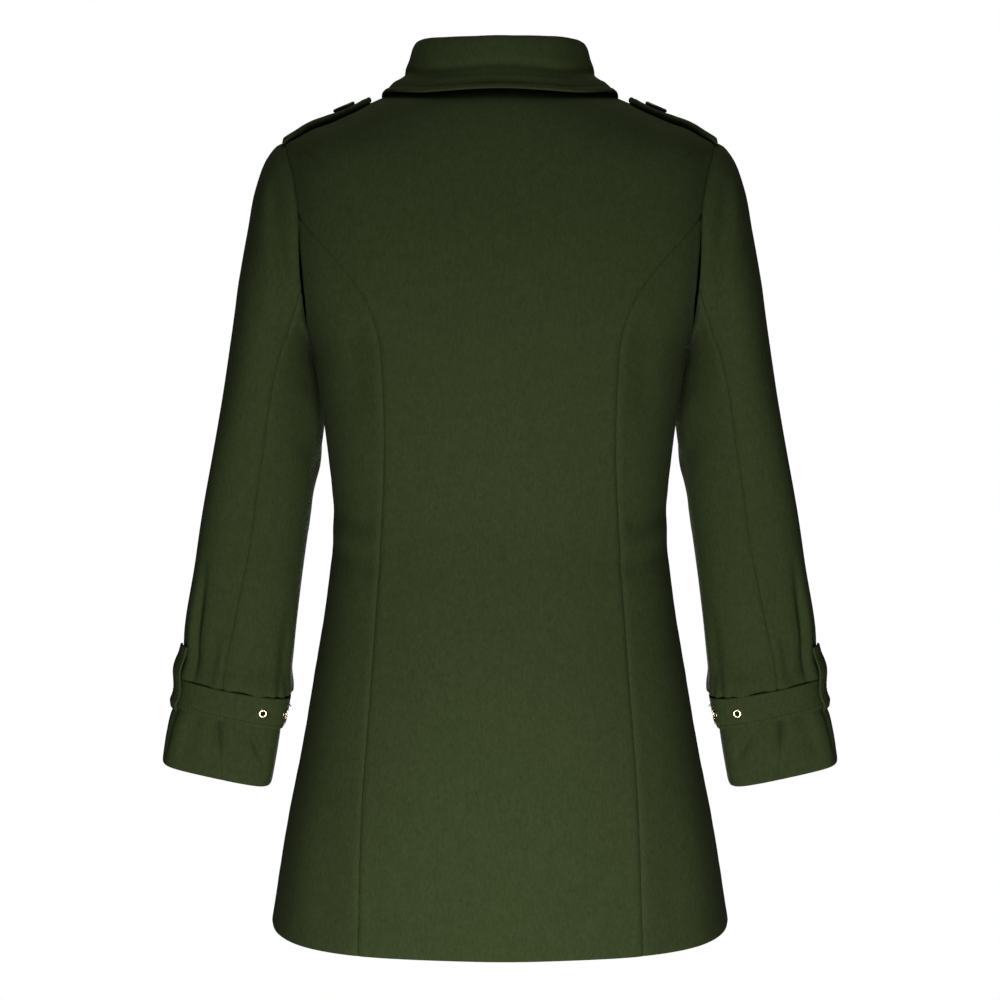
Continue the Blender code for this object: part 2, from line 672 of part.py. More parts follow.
def strap_top(round_angle):
    """Middle of the strap's outer face, the way it faces, and the way up the sleeve."""
    spread = 0.05
    angles = np.array([round_angle - spread, round_angle, round_angle + spread])
    before, top, after = strap_place(angles, np.zeros(3), np.full(3, STRAP_CLOTH))
    _, _, _, up = strap_frame(STRAP_START + round_angle, STRAP_CENTRE)
    return top, unit(np.cross(after - before, up)), up


def turned(name, profile, steps, finish, group):
    """A closed or axis-to-axis profile, as radius and height, turned round Z."""
    closed = profile[0][0] > 0
    mesh = bpy.data.meshes.new(name)
    count = len(profile)
    edges = [(i, i + 1) for i in range(count - 1)]
    if closed:
        edges.append((count - 1, 0))
    mesh.from_pydata([(r, 0, z) for r, z in profile], edges, [])
    obj = add_mesh(name, mesh, finish, group)
    screw = obj.modifiers.new("turn", "SCREW")
    screw.steps = steps
    screw.render_steps = steps
    screw.use_merge_vertices = True
    screw.merge_threshold = 0.00002
    screw.use_smooth_shade = True
    return obj


def place(obj, point, out, up):
    """Sets an object with its Z along out and its Y as near as can be to up."""
    z = Vector(out).normalized()
    x = Vector(up).cross(z).normalized()
    y = z.cross(x)
    turn = Matrix((x, y, z)).transposed().to_4x4()
    obj.matrix_world = Matrix.Translation(Vector(point)) @ turn


def make_drill(name, radius, depth, segments, cutters):
    mesh = bpy.data.meshes.new(name)
    shape = bmesh.new()
    bmesh.ops.create_cone(
        shape, cap_ends=True, segments=segments, radius1=radius, radius2=radius, depth=depth
    )
    shape.to_mesh(mesh)
    shape.free()
    drill = bpy.data.objects.new(name, mesh)
    drill.hide_render = True
    drill.display_type = "WIRE"
    cutters.objects.link(drill)
    return drill


def cut(obj, drill):
    made = obj.modifiers.new(drill.name, "BOOLEAN")
    made.operation = "DIFFERENCE"
    made.object = drill


EYELET_PROFILE = (
    (0.0021, 0.0006),
    (0.0031, 0.0012),
    (0.0042, 0.0003),
    (0.0026, 0.0003),
    (0.0026, -0.0030),
    (0.0021, -0.0030),
)
EYELET_STEPS = 12


def make_strap(side, sign, wool, metal, group, cutters):
    mirror = MIRROR_X if sign < 0 else 1.0
    left = (STRAP_LENGTH_ANGLE - STRAP_ROUND) * STRAP_RADIUS
    taper = np.clip(left / 0.012, 0, 1)
    half_width = STRAP_WIDTH / 2 * (0.45 + 0.55 * np.sqrt(1 - (1 - taper) ** 2))
    across = half_width[:, None] * np.linspace(-1, 1, 3)
    round_grid = np.broadcast_to(STRAP_ROUND[:, None], across.shape)
    zero = np.zeros_like(across)
    under = strap_place(round_grid, across, zero)
    over = strap_place(round_grid, across, zero + STRAP_CLOTH)
    strap = wall(f"cuff_strap_{side}", over * mirror, under * mirror, wool, group)

    for letter, angle in zip(EYELET_NAMES, EYELET_ANGLES):
        top, out, up = strap_top(angle)
        top, out, up = top * mirror, out * mirror, up * mirror
        drill = make_drill(f"drill_{side}_{letter}", EYELET_HOLE, STRAP_CLOTH * 4, 12, cutters)
        place(drill, top - out * STRAP_CLOTH / 2, out, up)
        cut(strap, drill)
        name = f"eyelet_{side}_{letter}"
        ring = turned(name, EYELET_PROFILE, EYELET_STEPS, metal, group)
        place(ring, top, out, up)


def tube(name, points, radius, finish, group, cyclic=False, sides=2):
    """A wire as a curve with a round section."""
    line = bpy.data.curves.new(name, "CURVE")
    line.dimensions = "3D"
    line.bevel_depth = radius
    line.bevel_resolution = sides
    line.use_fill_caps = True
    spline = line.splines.new("POLY")
    spline.points.add(len(points) - 1)
    for target, point in zip(spline.points, points):
        target.co = (*point, 1)
    spline.use_cyclic_u = cyclic
    line.materials.append(finish)
    obj = bpy.data.objects.new(name, line)
    group.objects.link(obj)
    return obj


# The buckle's frame: how far along from the heel bar to the front bar, and how far across.
CORNER = 0.0045
FRAME = (
    (CORNER, -1, 0),
    (0.0, -1, CORNER),
    (0.0, 1, -CORNER),
    (CORNER, 1, 0),
    (BUCKLE_LENGTH - CORNER, 1, 0),
    (BUCKLE_LENGTH, 1, -CORNER),
    (BUCKLE_LENGTH, -1, CORNER),
    (BUCKLE_LENGTH - CORNER, -1, 0),
)
# The prong: distance from the heel bar and height over the sleeve, up through the eyelet.
PRONG = (
    (-0.0026, 0.0030),
    (-0.0008, 0.0041),
    (0.0014, 0.0041),
    (0.0034, 0.0034),
    (0.0056, 0.0031),
    (0.0069, 0.0040),
    (0.0073, 0.0060),
    (0.0075, 0.0080),
    (0.0086, 0.0096),
    (0.0108, 0.0100),
    (0.0206, 0.0090),
)


def buckle_place(along, across, height):
    angle = STRAP_START + HEEL_BAR_ANGLE - along / STRAP_RADIUS
    point, out, _, _ = strap_frame(angle, STRAP_CENTRE + across)
    return point + out * height


def make_buckle(side, sign, metal, group):
    """Its heel bar lies under the strap's tail and its front bar and prong over it."""
    mirror = MIRROR_X if sign < 0 else 1.0
    wire = BUCKLE_WIRE / 2
    low = wire + UNDER_STRAP
    front_angle = HEEL_BAR_ANGLE - BUCKLE_LENGTH / STRAP_RADIUS
    high = float(strap_rise(np.array(front_angle))) + STRAP_CLOTH + wire + 2.5 * SEAM_GAP
    outline = []
    for along, end, inset in FRAME:
        height = low + (high - low) * along / BUCKLE_LENGTH
        outline.append(buckle_place(along, end * BUCKLE_SPREAD + inset, height) * mirror)
    tube(f"buckle_{side}", outline, wire, metal, group, cyclic=True)
    prong = [buckle_place(along, 0.0, height) * mirror for along, height in PRONG]
    tube(f"buckle_prong_{side}", prong, PRONG_WIRE / 2, metal, group, sides=1)


# The strap's loop on the outer side of the sleeve: distance up from the cuff's hem, and height
# of its underside over the sleeve.
LoopPoint = namedtuple("LoopPoint", "up height")
LOOP = (
    LoopPoint(0.1150, 0.0005),
    LoopPoint(0.1080, 0.0009),
    LoopPoint(0.1000, 0.0026),
    LoopPoint(0.0920, 0.0040),
    LoopPoint(0.0840, 0.0044),
    LoopPoint(0.0700, 0.0043),
    LoopPoint(0.0550, 0.0041),
    LoopPoint(0.0515, 0.0024),
    LoopPoint(0.0480, 0.0006),
)
LOOP_ANGLES = (-0.10, -0.03, 0.05, 0.13, 0.22)
LOOP_CLOTH = 0.0022


def make_loops(wool, group):
    table = np.array(LOOP)
    up, angle = np.meshgrid(table[:, 0], LOOP_ANGLES, indexing="ij")
    point, out, _, _ = strap_frame(angle, up)
    under = point + out * table[:, 1, None, None]
    over = under + out * LOOP_CLOTH
    wall("cuff_loop_left", over, under, wool, group)
    wall("cuff_loop_right", over * MIRROR_X, under * MIRROR_X, wool, group)


BUTTON_PROFILE = (
    (0.0000, 0.0018),
    (0.0064, 0.0018),
    (0.0078, 0.0034),
    (0.0096, 0.0034),
    (0.0105, 0.0022),
    (0.0098, 0.0000),
    (0.0000, 0.0000),
)
BUTTON_STEPS = 16
BUTTON_HOLE = 0.0010
BUTTON_HOLE_SPREAD = 0.0019
BUTTON_GAP = 0.0005
FRONT_BUTTON_TOP = -0.092
FRONT_BUTTON_SPACING = 0.088
FRONT_BUTTONS = 6


def make_button(name, point, out, up, finish, group, cutters):
    """A four-hole button, its back just clear of the cloth it is sewn on."""
    button = turned(name, BUTTON_PROFILE, BUTTON_STEPS, finish, group)
    place(button, point + out * BUTTON_GAP, out, up)
    for letter, x, y in (("a", 1, 1), ("b", -1, 1), ("c", -1, -1), ("d", 1, -1)):
        drill = make_drill(f"drill_{name}_{letter}", BUTTON_HOLE, 0.012, 6, cutters)
        offset = Vector((x * BUTTON_HOLE_SPREAD, y * BUTTON_HOLE_SPREAD, 0))
        drill.matrix_world = button.matrix_world @ Matrix.Translation(offset)
        cut(button, drill)


def front_down(z):
    """Distance down at which the centre front's surface is at a height."""
    low, high = 0.0, HEM
    for _ in range(40):
        middle = (low + high) / 2
        above = body(np.array(-math.pi / 2), np.array(middle))[2] > z
        low, high = (middle, high) if above else (low, middle)
    return (low + high) / 2


def make_buttons(dark, group, cutters):
    under, normal = tab_surface(np.array([TAB_BUTTON_X]), np.array([0.0]))
    point, out = (under + normal * TAB_CLOTH)[0], normal[0]
    for side, mirror in (("left", 1.0), ("right", MIRROR_X)):
        name = f"shoulder_button_{side}"
        make_button(name, point * mirror, out * mirror, (0, 1, 0), dark, group, cutters)
    for k in range(FRONT_BUTTONS):
        down = front_down(FRONT_BUTTON_TOP - FRONT_BUTTON_SPACING * k)
        angle, down = np.array(-math.pi / 2), np.array(down)
        point, out = body(angle, down), normals(body, angle, down)
        make_button(f"front_button_{k + 1}", point, out, (0, 0, 1), dark, group, cutters)


def build():
    for obj in list(bpy.data.objects):
        bpy.data.objects.remove(obj)
    group = collection("wool_coat")
    cutters = collection("cutters")
    wool = material("olive_wool", (0.030, 0.042, 0.016), 0.95)
    metal = material("pale_brass", (0.72, 0.62, 0.42), 0.3, 1.0)
    dark = material("dark_button", (0.010, 0.009, 0.008), 0.2)
    make_backs(wool, group)
    make_fronts(wool, group)
    make_sleeves(wool, group)
    make_collar(wool, group)
    make_tabs(wool, group)
    for side, sign in (("left", 1), ("right", -1)):
        make_strap(side, sign, wool, metal, group, cutters)
        make_buckle(side, sign, metal, group)
    make_loops(wool, group)
    make_buttons(dark, group, cutters)


build()
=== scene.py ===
"""A woman's thigh-length olive wool coat, seen from behind as it is worn, with no wearer.

Metres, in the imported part's frame. +Z is up, +X is the wearer's left and -Y the wearer's front.
"""

import math
from collections import namedtuple

import bmesh
import bpy
import numpy as np
from mathutils import Matrix, Vector


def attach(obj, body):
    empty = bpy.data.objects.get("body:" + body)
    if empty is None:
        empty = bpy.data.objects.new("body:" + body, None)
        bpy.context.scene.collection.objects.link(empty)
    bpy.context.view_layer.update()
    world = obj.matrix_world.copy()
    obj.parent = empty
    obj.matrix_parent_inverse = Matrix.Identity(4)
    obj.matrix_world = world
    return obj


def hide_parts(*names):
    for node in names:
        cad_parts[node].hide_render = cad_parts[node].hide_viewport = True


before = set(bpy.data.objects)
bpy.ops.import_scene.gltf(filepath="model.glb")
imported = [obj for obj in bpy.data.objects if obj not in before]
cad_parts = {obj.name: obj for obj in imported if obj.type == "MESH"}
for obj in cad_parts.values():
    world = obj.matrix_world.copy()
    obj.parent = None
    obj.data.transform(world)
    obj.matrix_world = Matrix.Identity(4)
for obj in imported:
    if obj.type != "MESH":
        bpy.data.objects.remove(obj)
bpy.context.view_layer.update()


# The wool. A felted melton of about 450 g/m2, dyed a dark olive. Its surface is a short fibre
# nap brushed downwards, with no weave showing, slightly mottled and a little paler where the
# fibres stand up.


def add(tree, kind, values=None, links=None, **settings):
    """A shader node, with its settings, its sockets' values and what feeds them."""
    made = tree.nodes.new("ShaderNode" + kind)
    for key, value in settings.items():
        setattr(made, key, value)
    for key, value in (values or {}).items():
        made.inputs[key].default_value = value
    for key, source in (links or {}).items():
        tree.links.new(source, made.inputs[key])
    return made


def new_material(name, colour, roughness, metallic=0.0):
    made = bpy.data.materials.new(name)
    made.use_nodes = True
    made.diffuse_color = (*colour, 1)
    shader = made.node_tree.nodes["Principled BSDF"]
    shader.inputs["Base Color"].default_value = (*colour, 1)
    shader.inputs["Roughness"].default_value = roughness
    shader.inputs["Metallic"].default_value = metallic
    return made, made.node_tree, shader


def tones(tree, factor, dark, pale, low=0.3, high=0.7):
    """A colour between two, by a factor that is stretched between low and high."""
    ramp = add(tree, "ValToRGB", links={"Fac": factor})
    ramp.color_ramp.elements[0].position = low
    ramp.color_ramp.elements[0].color = (*dark, 1)
    ramp.color_ramp.elements[1].position = high
    ramp.color_ramp.elements[1].color = (*pale, 1)
    return ramp.outputs["Color"]


WOOL_DARK = (0.0160, 0.0232, 0.0066)
WOOL_PALE = (0.0270, 0.0362, 0.0134)
# Noise scales: single fibres, the tufts they lie in, and the mottling of the dye.
FIBRE_SCALE = 1500.0
TUFT_SCALE = 420.0
MOTTLE_SCALE = 90.0


def make_wool(name, dark, pale):
    made, tree, shader = new_material(name, pale, 0.92)
    shader.inputs["Specular IOR Level"].default_value = 0.06
    shader.inputs["Sheen Weight"].default_value = 0.015
    shader.inputs["Sheen Roughness"].default_value = 0.45
    shader.inputs["Sheen Tint"].default_value = (0.55, 0.62, 0.38, 1)
    place = add(tree, "TexCoord").outputs["Object"]
    nap_way = add(tree, "Mapping", {"Scale": (1.0, 1.0, 0.45)}, {"Vector": place})
    fibre = add(
        tree,
        "TexNoise",
        {"Scale": FIBRE_SCALE, "Detail": 4.0, "Roughness": 0.65, "Distortion": 0.6},
        {"Vector": nap_way.outputs["Vector"]},
    )
    tuft = add(
        tree,
        "TexNoise",
        {"Scale": TUFT_SCALE, "Detail": 4.0, "Roughness": 0.6, "Distortion": 0.3},
        {"Vector": nap_way.outputs["Vector"]},
    )
    mottle = add(
        tree,
        "TexNoise",
        {"Scale": MOTTLE_SCALE, "Detail": 4.0, "Roughness": 0.6},
        {"Vector": place},
    )
    fine = add(
        tree,
        "Mix",
        {0: 0.55},
        {2: fibre.outputs["Fac"], 3: tuft.outputs["Fac"]},
        data_type="FLOAT",
    )
    whole = add(
        tree,
        "Mix",
        {0: 0.16},
        {2: fine.outputs[0], 3: mottle.outputs["Fac"]},
        data_type="FLOAT",
    )
    colour = tones(tree, whole.outputs[0], dark, pale, 0.36, 0.64)
    tree.links.new(colour, shader.inputs["Base Color"])
    rough = add(
        tree,
        "MapRange",
        {"From Min": 0.3, "From Max": 0.7, "To Min": 0.84, "To Max": 0.98},
        {"Value": fine.outputs[0]},
    )
    tree.links.new(rough.outputs["Result"], shader.inputs["Roughness"])
    bump = add(
        tree, "Bump", {"Strength": 0.55, "Distance": 0.0007}, {"Height": fine.outputs[0]}
    )
    soft = add(
        tree,
        "Bump",
        {"Strength": 0.12, "Distance": 0.0020},
        {"Height": mottle.outputs["Fac"], "Normal": bump.outputs["Normal"]},
    )
    tree.links.new(soft.outputs["Normal"], shader.inputs["Normal"])
    return made


wool = make_wool("olive_melton", WOOL_DARK, WOOL_PALE)


# The back centre panel. One piece of melton from the neck to the hem, with no centre seam. It
# is sewn to the side backs along the curved princess seams, which run out of the armholes, and
# its hem is turned up inside and blind stitched.

CLOTH = 0.0025

# Sections of the body, from the neck seam to the hem: half width and height at the side, depth
# and height at the centre back and centre front, and how far the corners are squared.
Section = namedtuple("Section", "side_x side_z back_y back_z front_y front_z square")
BODY = (
    Section(0.0750, 0.0005, 0.0620, -0.0020, 0.0780, -0.0700, 0.02),
    Section(0.1130, -0.0163, 0.0780, -0.0140, 0.0920, -0.0830, 0.04),
    Section(0.1530, -0.0335, 0.0920, -0.0400, 0.1040, -0.1000, 0.07),
    Section(0.1960, -0.0515, 0.1040, -0.0780, 0.1130, -0.1220, 0.10),
    Section(0.2035, -0.0880, 0.1130, -0.1150, 0.1220, -0.1480, 0.10),
    Section(0.2035, -0.1300, 0.1180, -0.1500, 0.1330, -0.1780, 0.10),
    Section(0.1925, -0.1800, 0.1200, -0.1900, 0.1430, -0.2100, 0.10),
    Section(0.1745, -0.2220, 0.1190, -0.2260, 0.1465, -0.2400, 0.10),
    Section(0.1680, -0.2620, 0.1150, -0.2640, 0.1450, -0.2720, 0.10),
    Section(0.1590, -0.3220, 0.1055, -0.3220, 0.1350, -0.3250, 0.10),
    Section(0.1526, -0.3980, 0.0955, -0.3980, 0.1225, -0.3980, 0.10),
    Section(0.1590, -0.4660, 0.1030, -0.4660, 0.1240, -0.4660, 0.10),
    Section(0.1722, -0.5460, 0.1160, -0.5460, 0.1280, -0.5460, 0.11),
    Section(0.1930, -0.6600, 0.1280, -0.6600, 0.1330, -0.6600, 0.12),
    Section(0.2127, -0.7790, 0.1370, -0.7790, 0.1380, -0.7790, 0.13),
)

# The armhole's distance from the middle of the body, by the share of the way from the shoulder
# tip to the underarm.
Armhole = namedtuple("Armhole", "share x")
ARMHOLE = (
    Armhole(0.00, 0.1960),
    Armhole(0.06, 0.1925),
    Armhole(0.17, 0.1862),
    Armhole(0.30, 0.1822),
    Armhole(0.45, 0.1808),
    Armhole(0.65, 0.1788),
    Armhole(0.85, 0.1765),
    Armhole(1.00, 0.1745),
)
ARMHOLE_STEPS = 48
PRINCESS_STEP = 19

# The back princess seam below the armhole: its height and its distance from the centre back.
SeamPoint = namedtuple("SeamPoint", "z x")
PRINCESS = (
    SeamPoint(-0.1100, 0.1850),
    SeamPoint(-0.1220, 0.1755),
    SeamPoint(-0.1350, 0.1620),
    SeamPoint(-0.1550, 0.1430),
    SeamPoint(-0.1800, 0.1240),
    SeamPoint(-0.2150, 0.1095),
    SeamPoint(-0.2600, 0.1050),
    SeamPoint(-0.3200, 0.1040),
    SeamPoint(-0.3980, 0.1075),
    SeamPoint(-0.5000, 0.1145),
    SeamPoint(-0.6400, 0.1245),
    SeamPoint(-0.7790, 0.1290),
)


def spline_weights(knots, at):
    """Weight of each knot's value on the smooth curve through all of them, at each place."""
    knots = np.asarray(knots, float)
    at = np.clip(np.asarray(at, float), knots[0], knots[-1])
    count = len(knots)
    steps = np.diff(knots)
    tangents = np.zeros((count, count))
    tangents[0, :2] = [-1 / steps[0], 1 / steps[0]]
    tangents[-1, -2:] = [-1 / steps[-1], 1 / steps[-1]]
    for i in range(1, count - 1):
        before, after = steps[i - 1], steps[i]
        tangents[i, i - 1] = -after / (before * (before + after))
        tangents[i, i + 1] = before / (after * (before + after))
        tangents[i, i] = -tangents[i, i - 1] - tangents[i, i + 1]
    i = np.clip(np.searchsorted(knots, at, side="right") - 1, 0, count - 2)
    step = steps[i]
    s = (at - knots[i]) / step
    one = np.eye(count)
    start = (2 * s**3 - 3 * s**2 + 1)[..., None] * one[i]
    start_slope = ((s**3 - 2 * s**2 + s) * step)[..., None] * tangents[i]
    end = (3 * s**2 - 2 * s**3)[..., None] * one[i + 1]
    end_slope = ((s**3 - s**2) * step)[..., None] * tangents[i + 1]
    return start + start_slope + end + end_slope


def smooth_step(x, low, high):
    s = np.clip((np.asarray(x, float) - low) / (high - low), 0, 1)
    return s * s * (3 - 2 * s)


def distances_down(points):
    steps = np.linalg.norm(np.diff(points, axis=0), axis=1)
    return np.concatenate([[0.0], np.cumsum(steps)])


def unit(vectors):
    return vectors / np.maximum(np.linalg.norm(vectors, axis=-1, keepdims=True), 1e-12)


BODY_TABLE = np.array(BODY)
BODY_DOWN = distances_down(BODY_TABLE[:, :2])
TIP = BODY_DOWN[3]
PIT = BODY_DOWN[7]
HEM = BODY_DOWN[-1]


def body(angle, down):
    """Point of the body's outer surface. The angle is 0 at the wearer's left and a quarter
    turn at the back; down is the distance from the neck along the side."""
    sizes = spline_weights(BODY_DOWN, down) @ BODY_TABLE
    side_x, side_z, back_y, back_z, front_y, front_z, square = np.moveaxis(sizes, -1, 0)
    sin, cos = np.sin(angle), np.cos(angle)
    depth = np.where(sin > 0, back_y, front_y)
    middle_z = np.where(sin > 0, back_z, front_z)
    x = side_x * cos * (1 + square * sin**2)
    y = depth * sin * (1 + square * cos**2)
    z = side_z + (middle_z - side_z) * sin**2
    return np.stack([x, y, z], axis=-1)


def normals(surface, across, down):
    """Outward normals of a surface whose first parameter turns anticlockwise seen from above."""
    turn, drop = 1e-3, 2e-5
    along = surface(across + turn, down) - surface(across - turn, down)
    fall = surface(across, down + drop) - surface(across, down - drop)
    return unit(np.cross(fall, along))


def angle_at_x(x, down, front=False):
    """Angle on the back, or on the front, at which the body's surface is x from the middle."""
    x, down = np.broadcast_arrays(np.asarray(x, float), np.asarray(down, float))
    low, high = np.zeros(x.shape), np.full(x.shape, math.pi)
    sign = -1 if front else 1
    for _ in range(36):
        middle = (low + high) / 2
        outside = body(sign * middle, down)[..., 0] > x
        low, high = np.where(outside, middle, low), np.where(outside, high, middle)
    return sign * (low + high) / 2


def armhole_down(step):
    """Distance down to one of the armhole's steps, which are closer at its top and bottom."""
    return TIP + (PIT - TIP) * (1 - np.cos(np.pi * step / ARMHOLE_STEPS)) / 2


def armhole_angle(down, front=False):
    table = np.array(ARMHOLE)
    share = (down - TIP) / (PIT - TIP)
    x = spline_weights(table[:, 0], share) @ table[:, 1]
    angle = np.abs(angle_at_x(x, down, front))
    return np.where((share <= 0) | (share >= 1), 0, angle)


HEM_ROLL = CLOTH / 2
SHOULDER_ROWS = np.linspace(0, TIP, 40)[:-1]
ARMHOLE_ROWS = armhole_down(np.arange(ARMHOLE_STEPS + 1))
HEM_ROWS = HEM - HEM_ROLL - np.array([0.0052, 0.0030, 0.0014, 0.0005, 0.0])
SKIRT_ROWS = np.linspace(PIT, HEM - 0.010, 112)[1:]
BODY_ROWS = np.concatenate([SHOULDER_ROWS, ARMHOLE_ROWS, SKIRT_ROWS, HEM_ROWS])
PRINCESS_ROW = len(SHOULDER_ROWS) + PRINCESS_STEP


def princess_angle(down):
    """Angle of the princess seam on the back at each row."""
    table = np.array(PRINCESS)
    low, high = np.zeros(down.shape), np.full(down.shape, math.pi / 2)
    for _ in range(36):
        middle = (low + high) / 2
        point = body(middle, down)
        seam_x = spline_weights(-table[:, 0], -point[..., 2]) @ table[:, 1]
        outside = point[..., 0] > seam_x
        low, high = np.where(outside, middle, low), np.where(outside, high, middle)
    return (low + high) / 2


def spread(columns, width, edge=0.0005):
    """Shares across a panel, closely spaced at both edges and evenly in the middle."""
    near = edge * 1.45 ** np.arange(12)
    ends = np.concatenate([[0.0], np.cumsum(near)])
    ends = ends[ends < width * 0.2]
    middle = np.linspace(ends[-1], width - ends[-1], columns)
    return np.concatenate([ends[:-1], middle, (width - ends[:-1])[::-1]]) / width


def between(low, high, shares):
    return low[:, None] + (high - low)[:, None] * shares


def edge_distances(grid):
    """Distance of each point of a grid from its top, bottom, left and right edges."""
    down = np.linalg.norm(np.diff(grid, axis=0), axis=-1)
    across = np.linalg.norm(np.diff(grid, axis=1), axis=-1)
    rows, columns = grid.shape[:2]
    top = np.vstack([np.zeros((1, columns)), np.cumsum(down, axis=0)])
    left = np.hstack([np.zeros((rows, 1)), np.cumsum(across, axis=1)])
    return top, top[-1:] - top, left, left[:, -1:] - left


def uneven(along, seed):
    """A gently irregular wave between about -1 and 1."""
    first = 0.50 * np.sin(along / 0.0052 + seed)
    second = 0.32 * np.sin(along / 0.0031 + 2.3 * seed + 1.0)
    return first + second + 0.25 * np.sin(along / 0.0127 + 4.1 * seed)


def seam_relief(distance, along, seed, depth=0.0011):
    """A pressed seam: the edge turns down into it, the allowance behind lifts the cloth beside
    it a little, and the stitching draws it in unevenly."""
    turned = -depth * np.exp(-((distance / 0.0015) ** 1.4))
    lifted = 0.00045 * np.exp(-(((distance - 0.0055) / 0.0035) ** 2))
    drawn = 0.00022 * uneven(along, seed) * np.exp(-distance / 0.009)
    return turned + lifted + drawn


# Soft creases of a panel, each from one point to another in the view from behind or in front:
# how far it bows, its half width, and its depth, which is negative in a trough.
Crease = namedtuple("Crease", "x z end_x end_z bow half_width depth")
BACK_CREASES = (
    Crease(0.153, -0.380, 0.112, -0.395, 0.004, 0.0080, -0.0022),
    Crease(0.154, -0.401, 0.106, -0.412, 0.003, 0.0080, 0.0013),
    Crease(0.154, -0.422, 0.108, -0.436, -0.003, 0.0085, -0.0020),
    Crease(0.130, -0.205, 0.124, -0.292, 0.002, 0.0105, -0.0024),
    Crease(0.156, -0.452, 0.118, -0.470, -0.004, 0.0110, 0.0009),
    Crease(0.150, -0.345, 0.118, -0.352, 0.003, 0.0090, 0.0008),
    Crease(0.175, -0.232, 0.120, -0.300, -0.006, 0.0110, -0.0012),
    Crease(0.170, -0.205, 0.130, -0.250, -0.004, 0.0100, 0.0009),
    Crease(0.118, -0.655, 0.105, -0.690, 0.003, 0.0110, -0.0010),
    Crease(0.117, -0.722, 0.100, -0.752, 0.003, 0.0100, -0.0011),
    Crease(0.060, -0.700, 0.052, -0.778, 0.000, 0.0200, 0.0009),
    Crease(0.175, -0.640, 0.186, -0.778, 0.000, 0.0160, 0.0016),
    Crease(0.152, -0.620, 0.158, -0.778, 0.000, 0.0140, -0.0013),
)


def crease_relief(points, creases):
    relief = np.zeros(points.shape[:-1])
    for crease in creases:
        run = np.array([crease.end_x - crease.x, crease.end_z - crease.z])
        long = np.linalg.norm(run)
        ahead = run / long
        x, z = points[..., 0] - crease.x, points[..., 2] - crease.z
        along = np.clip((x * ahead[0] + z * ahead[1]) / long, -0.5, 1.5)
        aside = x * -ahead[1] + z * ahead[0] - crease.bow * 4 * along * (1 - along)
        ends = smooth_step(along, -0.10, 0.30) * (1 - smooth_step(along, 0.70, 1.10))
        relief += crease.depth * np.exp(-((aside / crease.half_width) ** 2)) * ends
    return relief


def drape_relief(points, amount=0.0007):
    """The slight slackness of cloth that hangs: long, low waves, a little more at the hem."""
    x, y, z = np.moveaxis(points, -1, 0)
    waves = np.sin(x / 0.021 + 2.2 * np.sin(z / 0.085 + 1.3) + y / 0.034)
    waves = waves + 0.6 * np.sin(x / 0.047 - z / 0.060 + 1.7) + 0.4 * np.sin(z / 0.027 + x / 0.09)
    return amount * waves * (0.5 + 0.8 * smooth_step(-z, 0.30, 0.78))


def shell(name, outer, inner, surface, bulges=(0, 0, 0, 0), mirror=False):
    """A closed sheet between two grids. The bulges round its top, bottom, left and right edges."""
    rows, columns = outer.shape[:2]
    if mirror:
        outer, inner = outer * (-1, 1, 1), inner * (-1, 1, 1)
    round_it = [(0, c) for c in range(columns - 1)]
    round_it += [(r, columns - 1) for r in range(rows - 1)]
    round_it += [(rows - 1, c) for c in range(columns - 1, 0, -1)]
    round_it += [(r, 0) for r in range(rows - 1, 0, -1)]
    loop = np.array(round_it)
    r, c = loop[:, 0], loop[:, 1]
    reach = np.zeros((len(loop), 3))
    sides = (
        (r == 0, outer[0, c] - outer[1, c], bulges[0]),
        (r == rows - 1, outer[-1, c] - outer[-2, c], bulges[1]),
        (c == 0, outer[r, 0] - outer[r, 1], bulges[2]),
        (c == columns - 1, outer[r, -1] - outer[r, -2], bulges[3]),
    )
    for on_side, way, bulge in sides:
        reach += np.where(on_side[:, None], unit(way) * bulge, 0)
    over, under = outer[r, c], inner[r, c]
    turns = np.linspace(0, math.pi, 6)[1:-1] if any(bulges) else []
    rims = [
        (over + under) / 2 + (over - under) / 2 * math.cos(t) + reach * math.sin(t) for t in turns
    ]
    points = np.concatenate([outer.reshape(-1, 3), inner.reshape(-1, 3), *rims])
    index = np.arange(rows * columns).reshape(rows, columns)
    corner = [index[:-1, :-1], index[1:, :-1], index[1:, 1:], index[:-1, 1:]]
    quads = np.stack([k.ravel() for k in corner], axis=1)
    faces = [quads, quads[:, ::-1] + rows * columns]
    loops = [index[r, c]]
    loops += [2 * rows * columns + len(loop) * k + np.arange(len(loop)) for k in range(len(rims))]
    loops.append(index[r, c] + rows * columns)
    for a, b in zip(loops, loops[1:]):
        faces.append(np.stack([a, np.roll(a, -1), np.roll(b, -1), b], axis=1))
    faces = np.concatenate(faces)
    if mirror:
        faces = faces[:, ::-1]
    mesh = bpy.data.meshes.new(name)
    mesh.from_pydata(points.tolist(), [], faces.tolist())
    mesh.materials.append(surface)
    mesh.shade_smooth()
    obj = bpy.data.objects.new(name, mesh)
    bpy.context.scene.collection.objects.link(obj)
    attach(obj, "root")
    return obj


def cloth_piece(obj, node):
    """Hides the CAD node that the piece stands for, and gives the piece back."""
    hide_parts(node)
    return obj


ALLOWANCE = 0.012
ALLOWANCE_LIFT = 0.0010
HEM_TURN_UP = 0.038


def inside(outer, normal, relief, edges, hem):
    """The inner face: it follows the creases, and carries the seam allowances, pressed open,
    and the turned up hem."""
    lining = np.zeros(outer.shape[:-1])
    for distance in edges:
        lining += ALLOWANCE_LIFT * (1 - smooth_step(distance, ALLOWANCE - 0.002, ALLOWANCE))
    if hem is not None:
        lining += 0.0012 * (1 - smooth_step(hem, HEM_TURN_UP - 0.002, HEM_TURN_UP))
    lining = np.minimum(lining, 0.0018)
    return outer - normal * (CLOTH + relief + lining)[..., None]


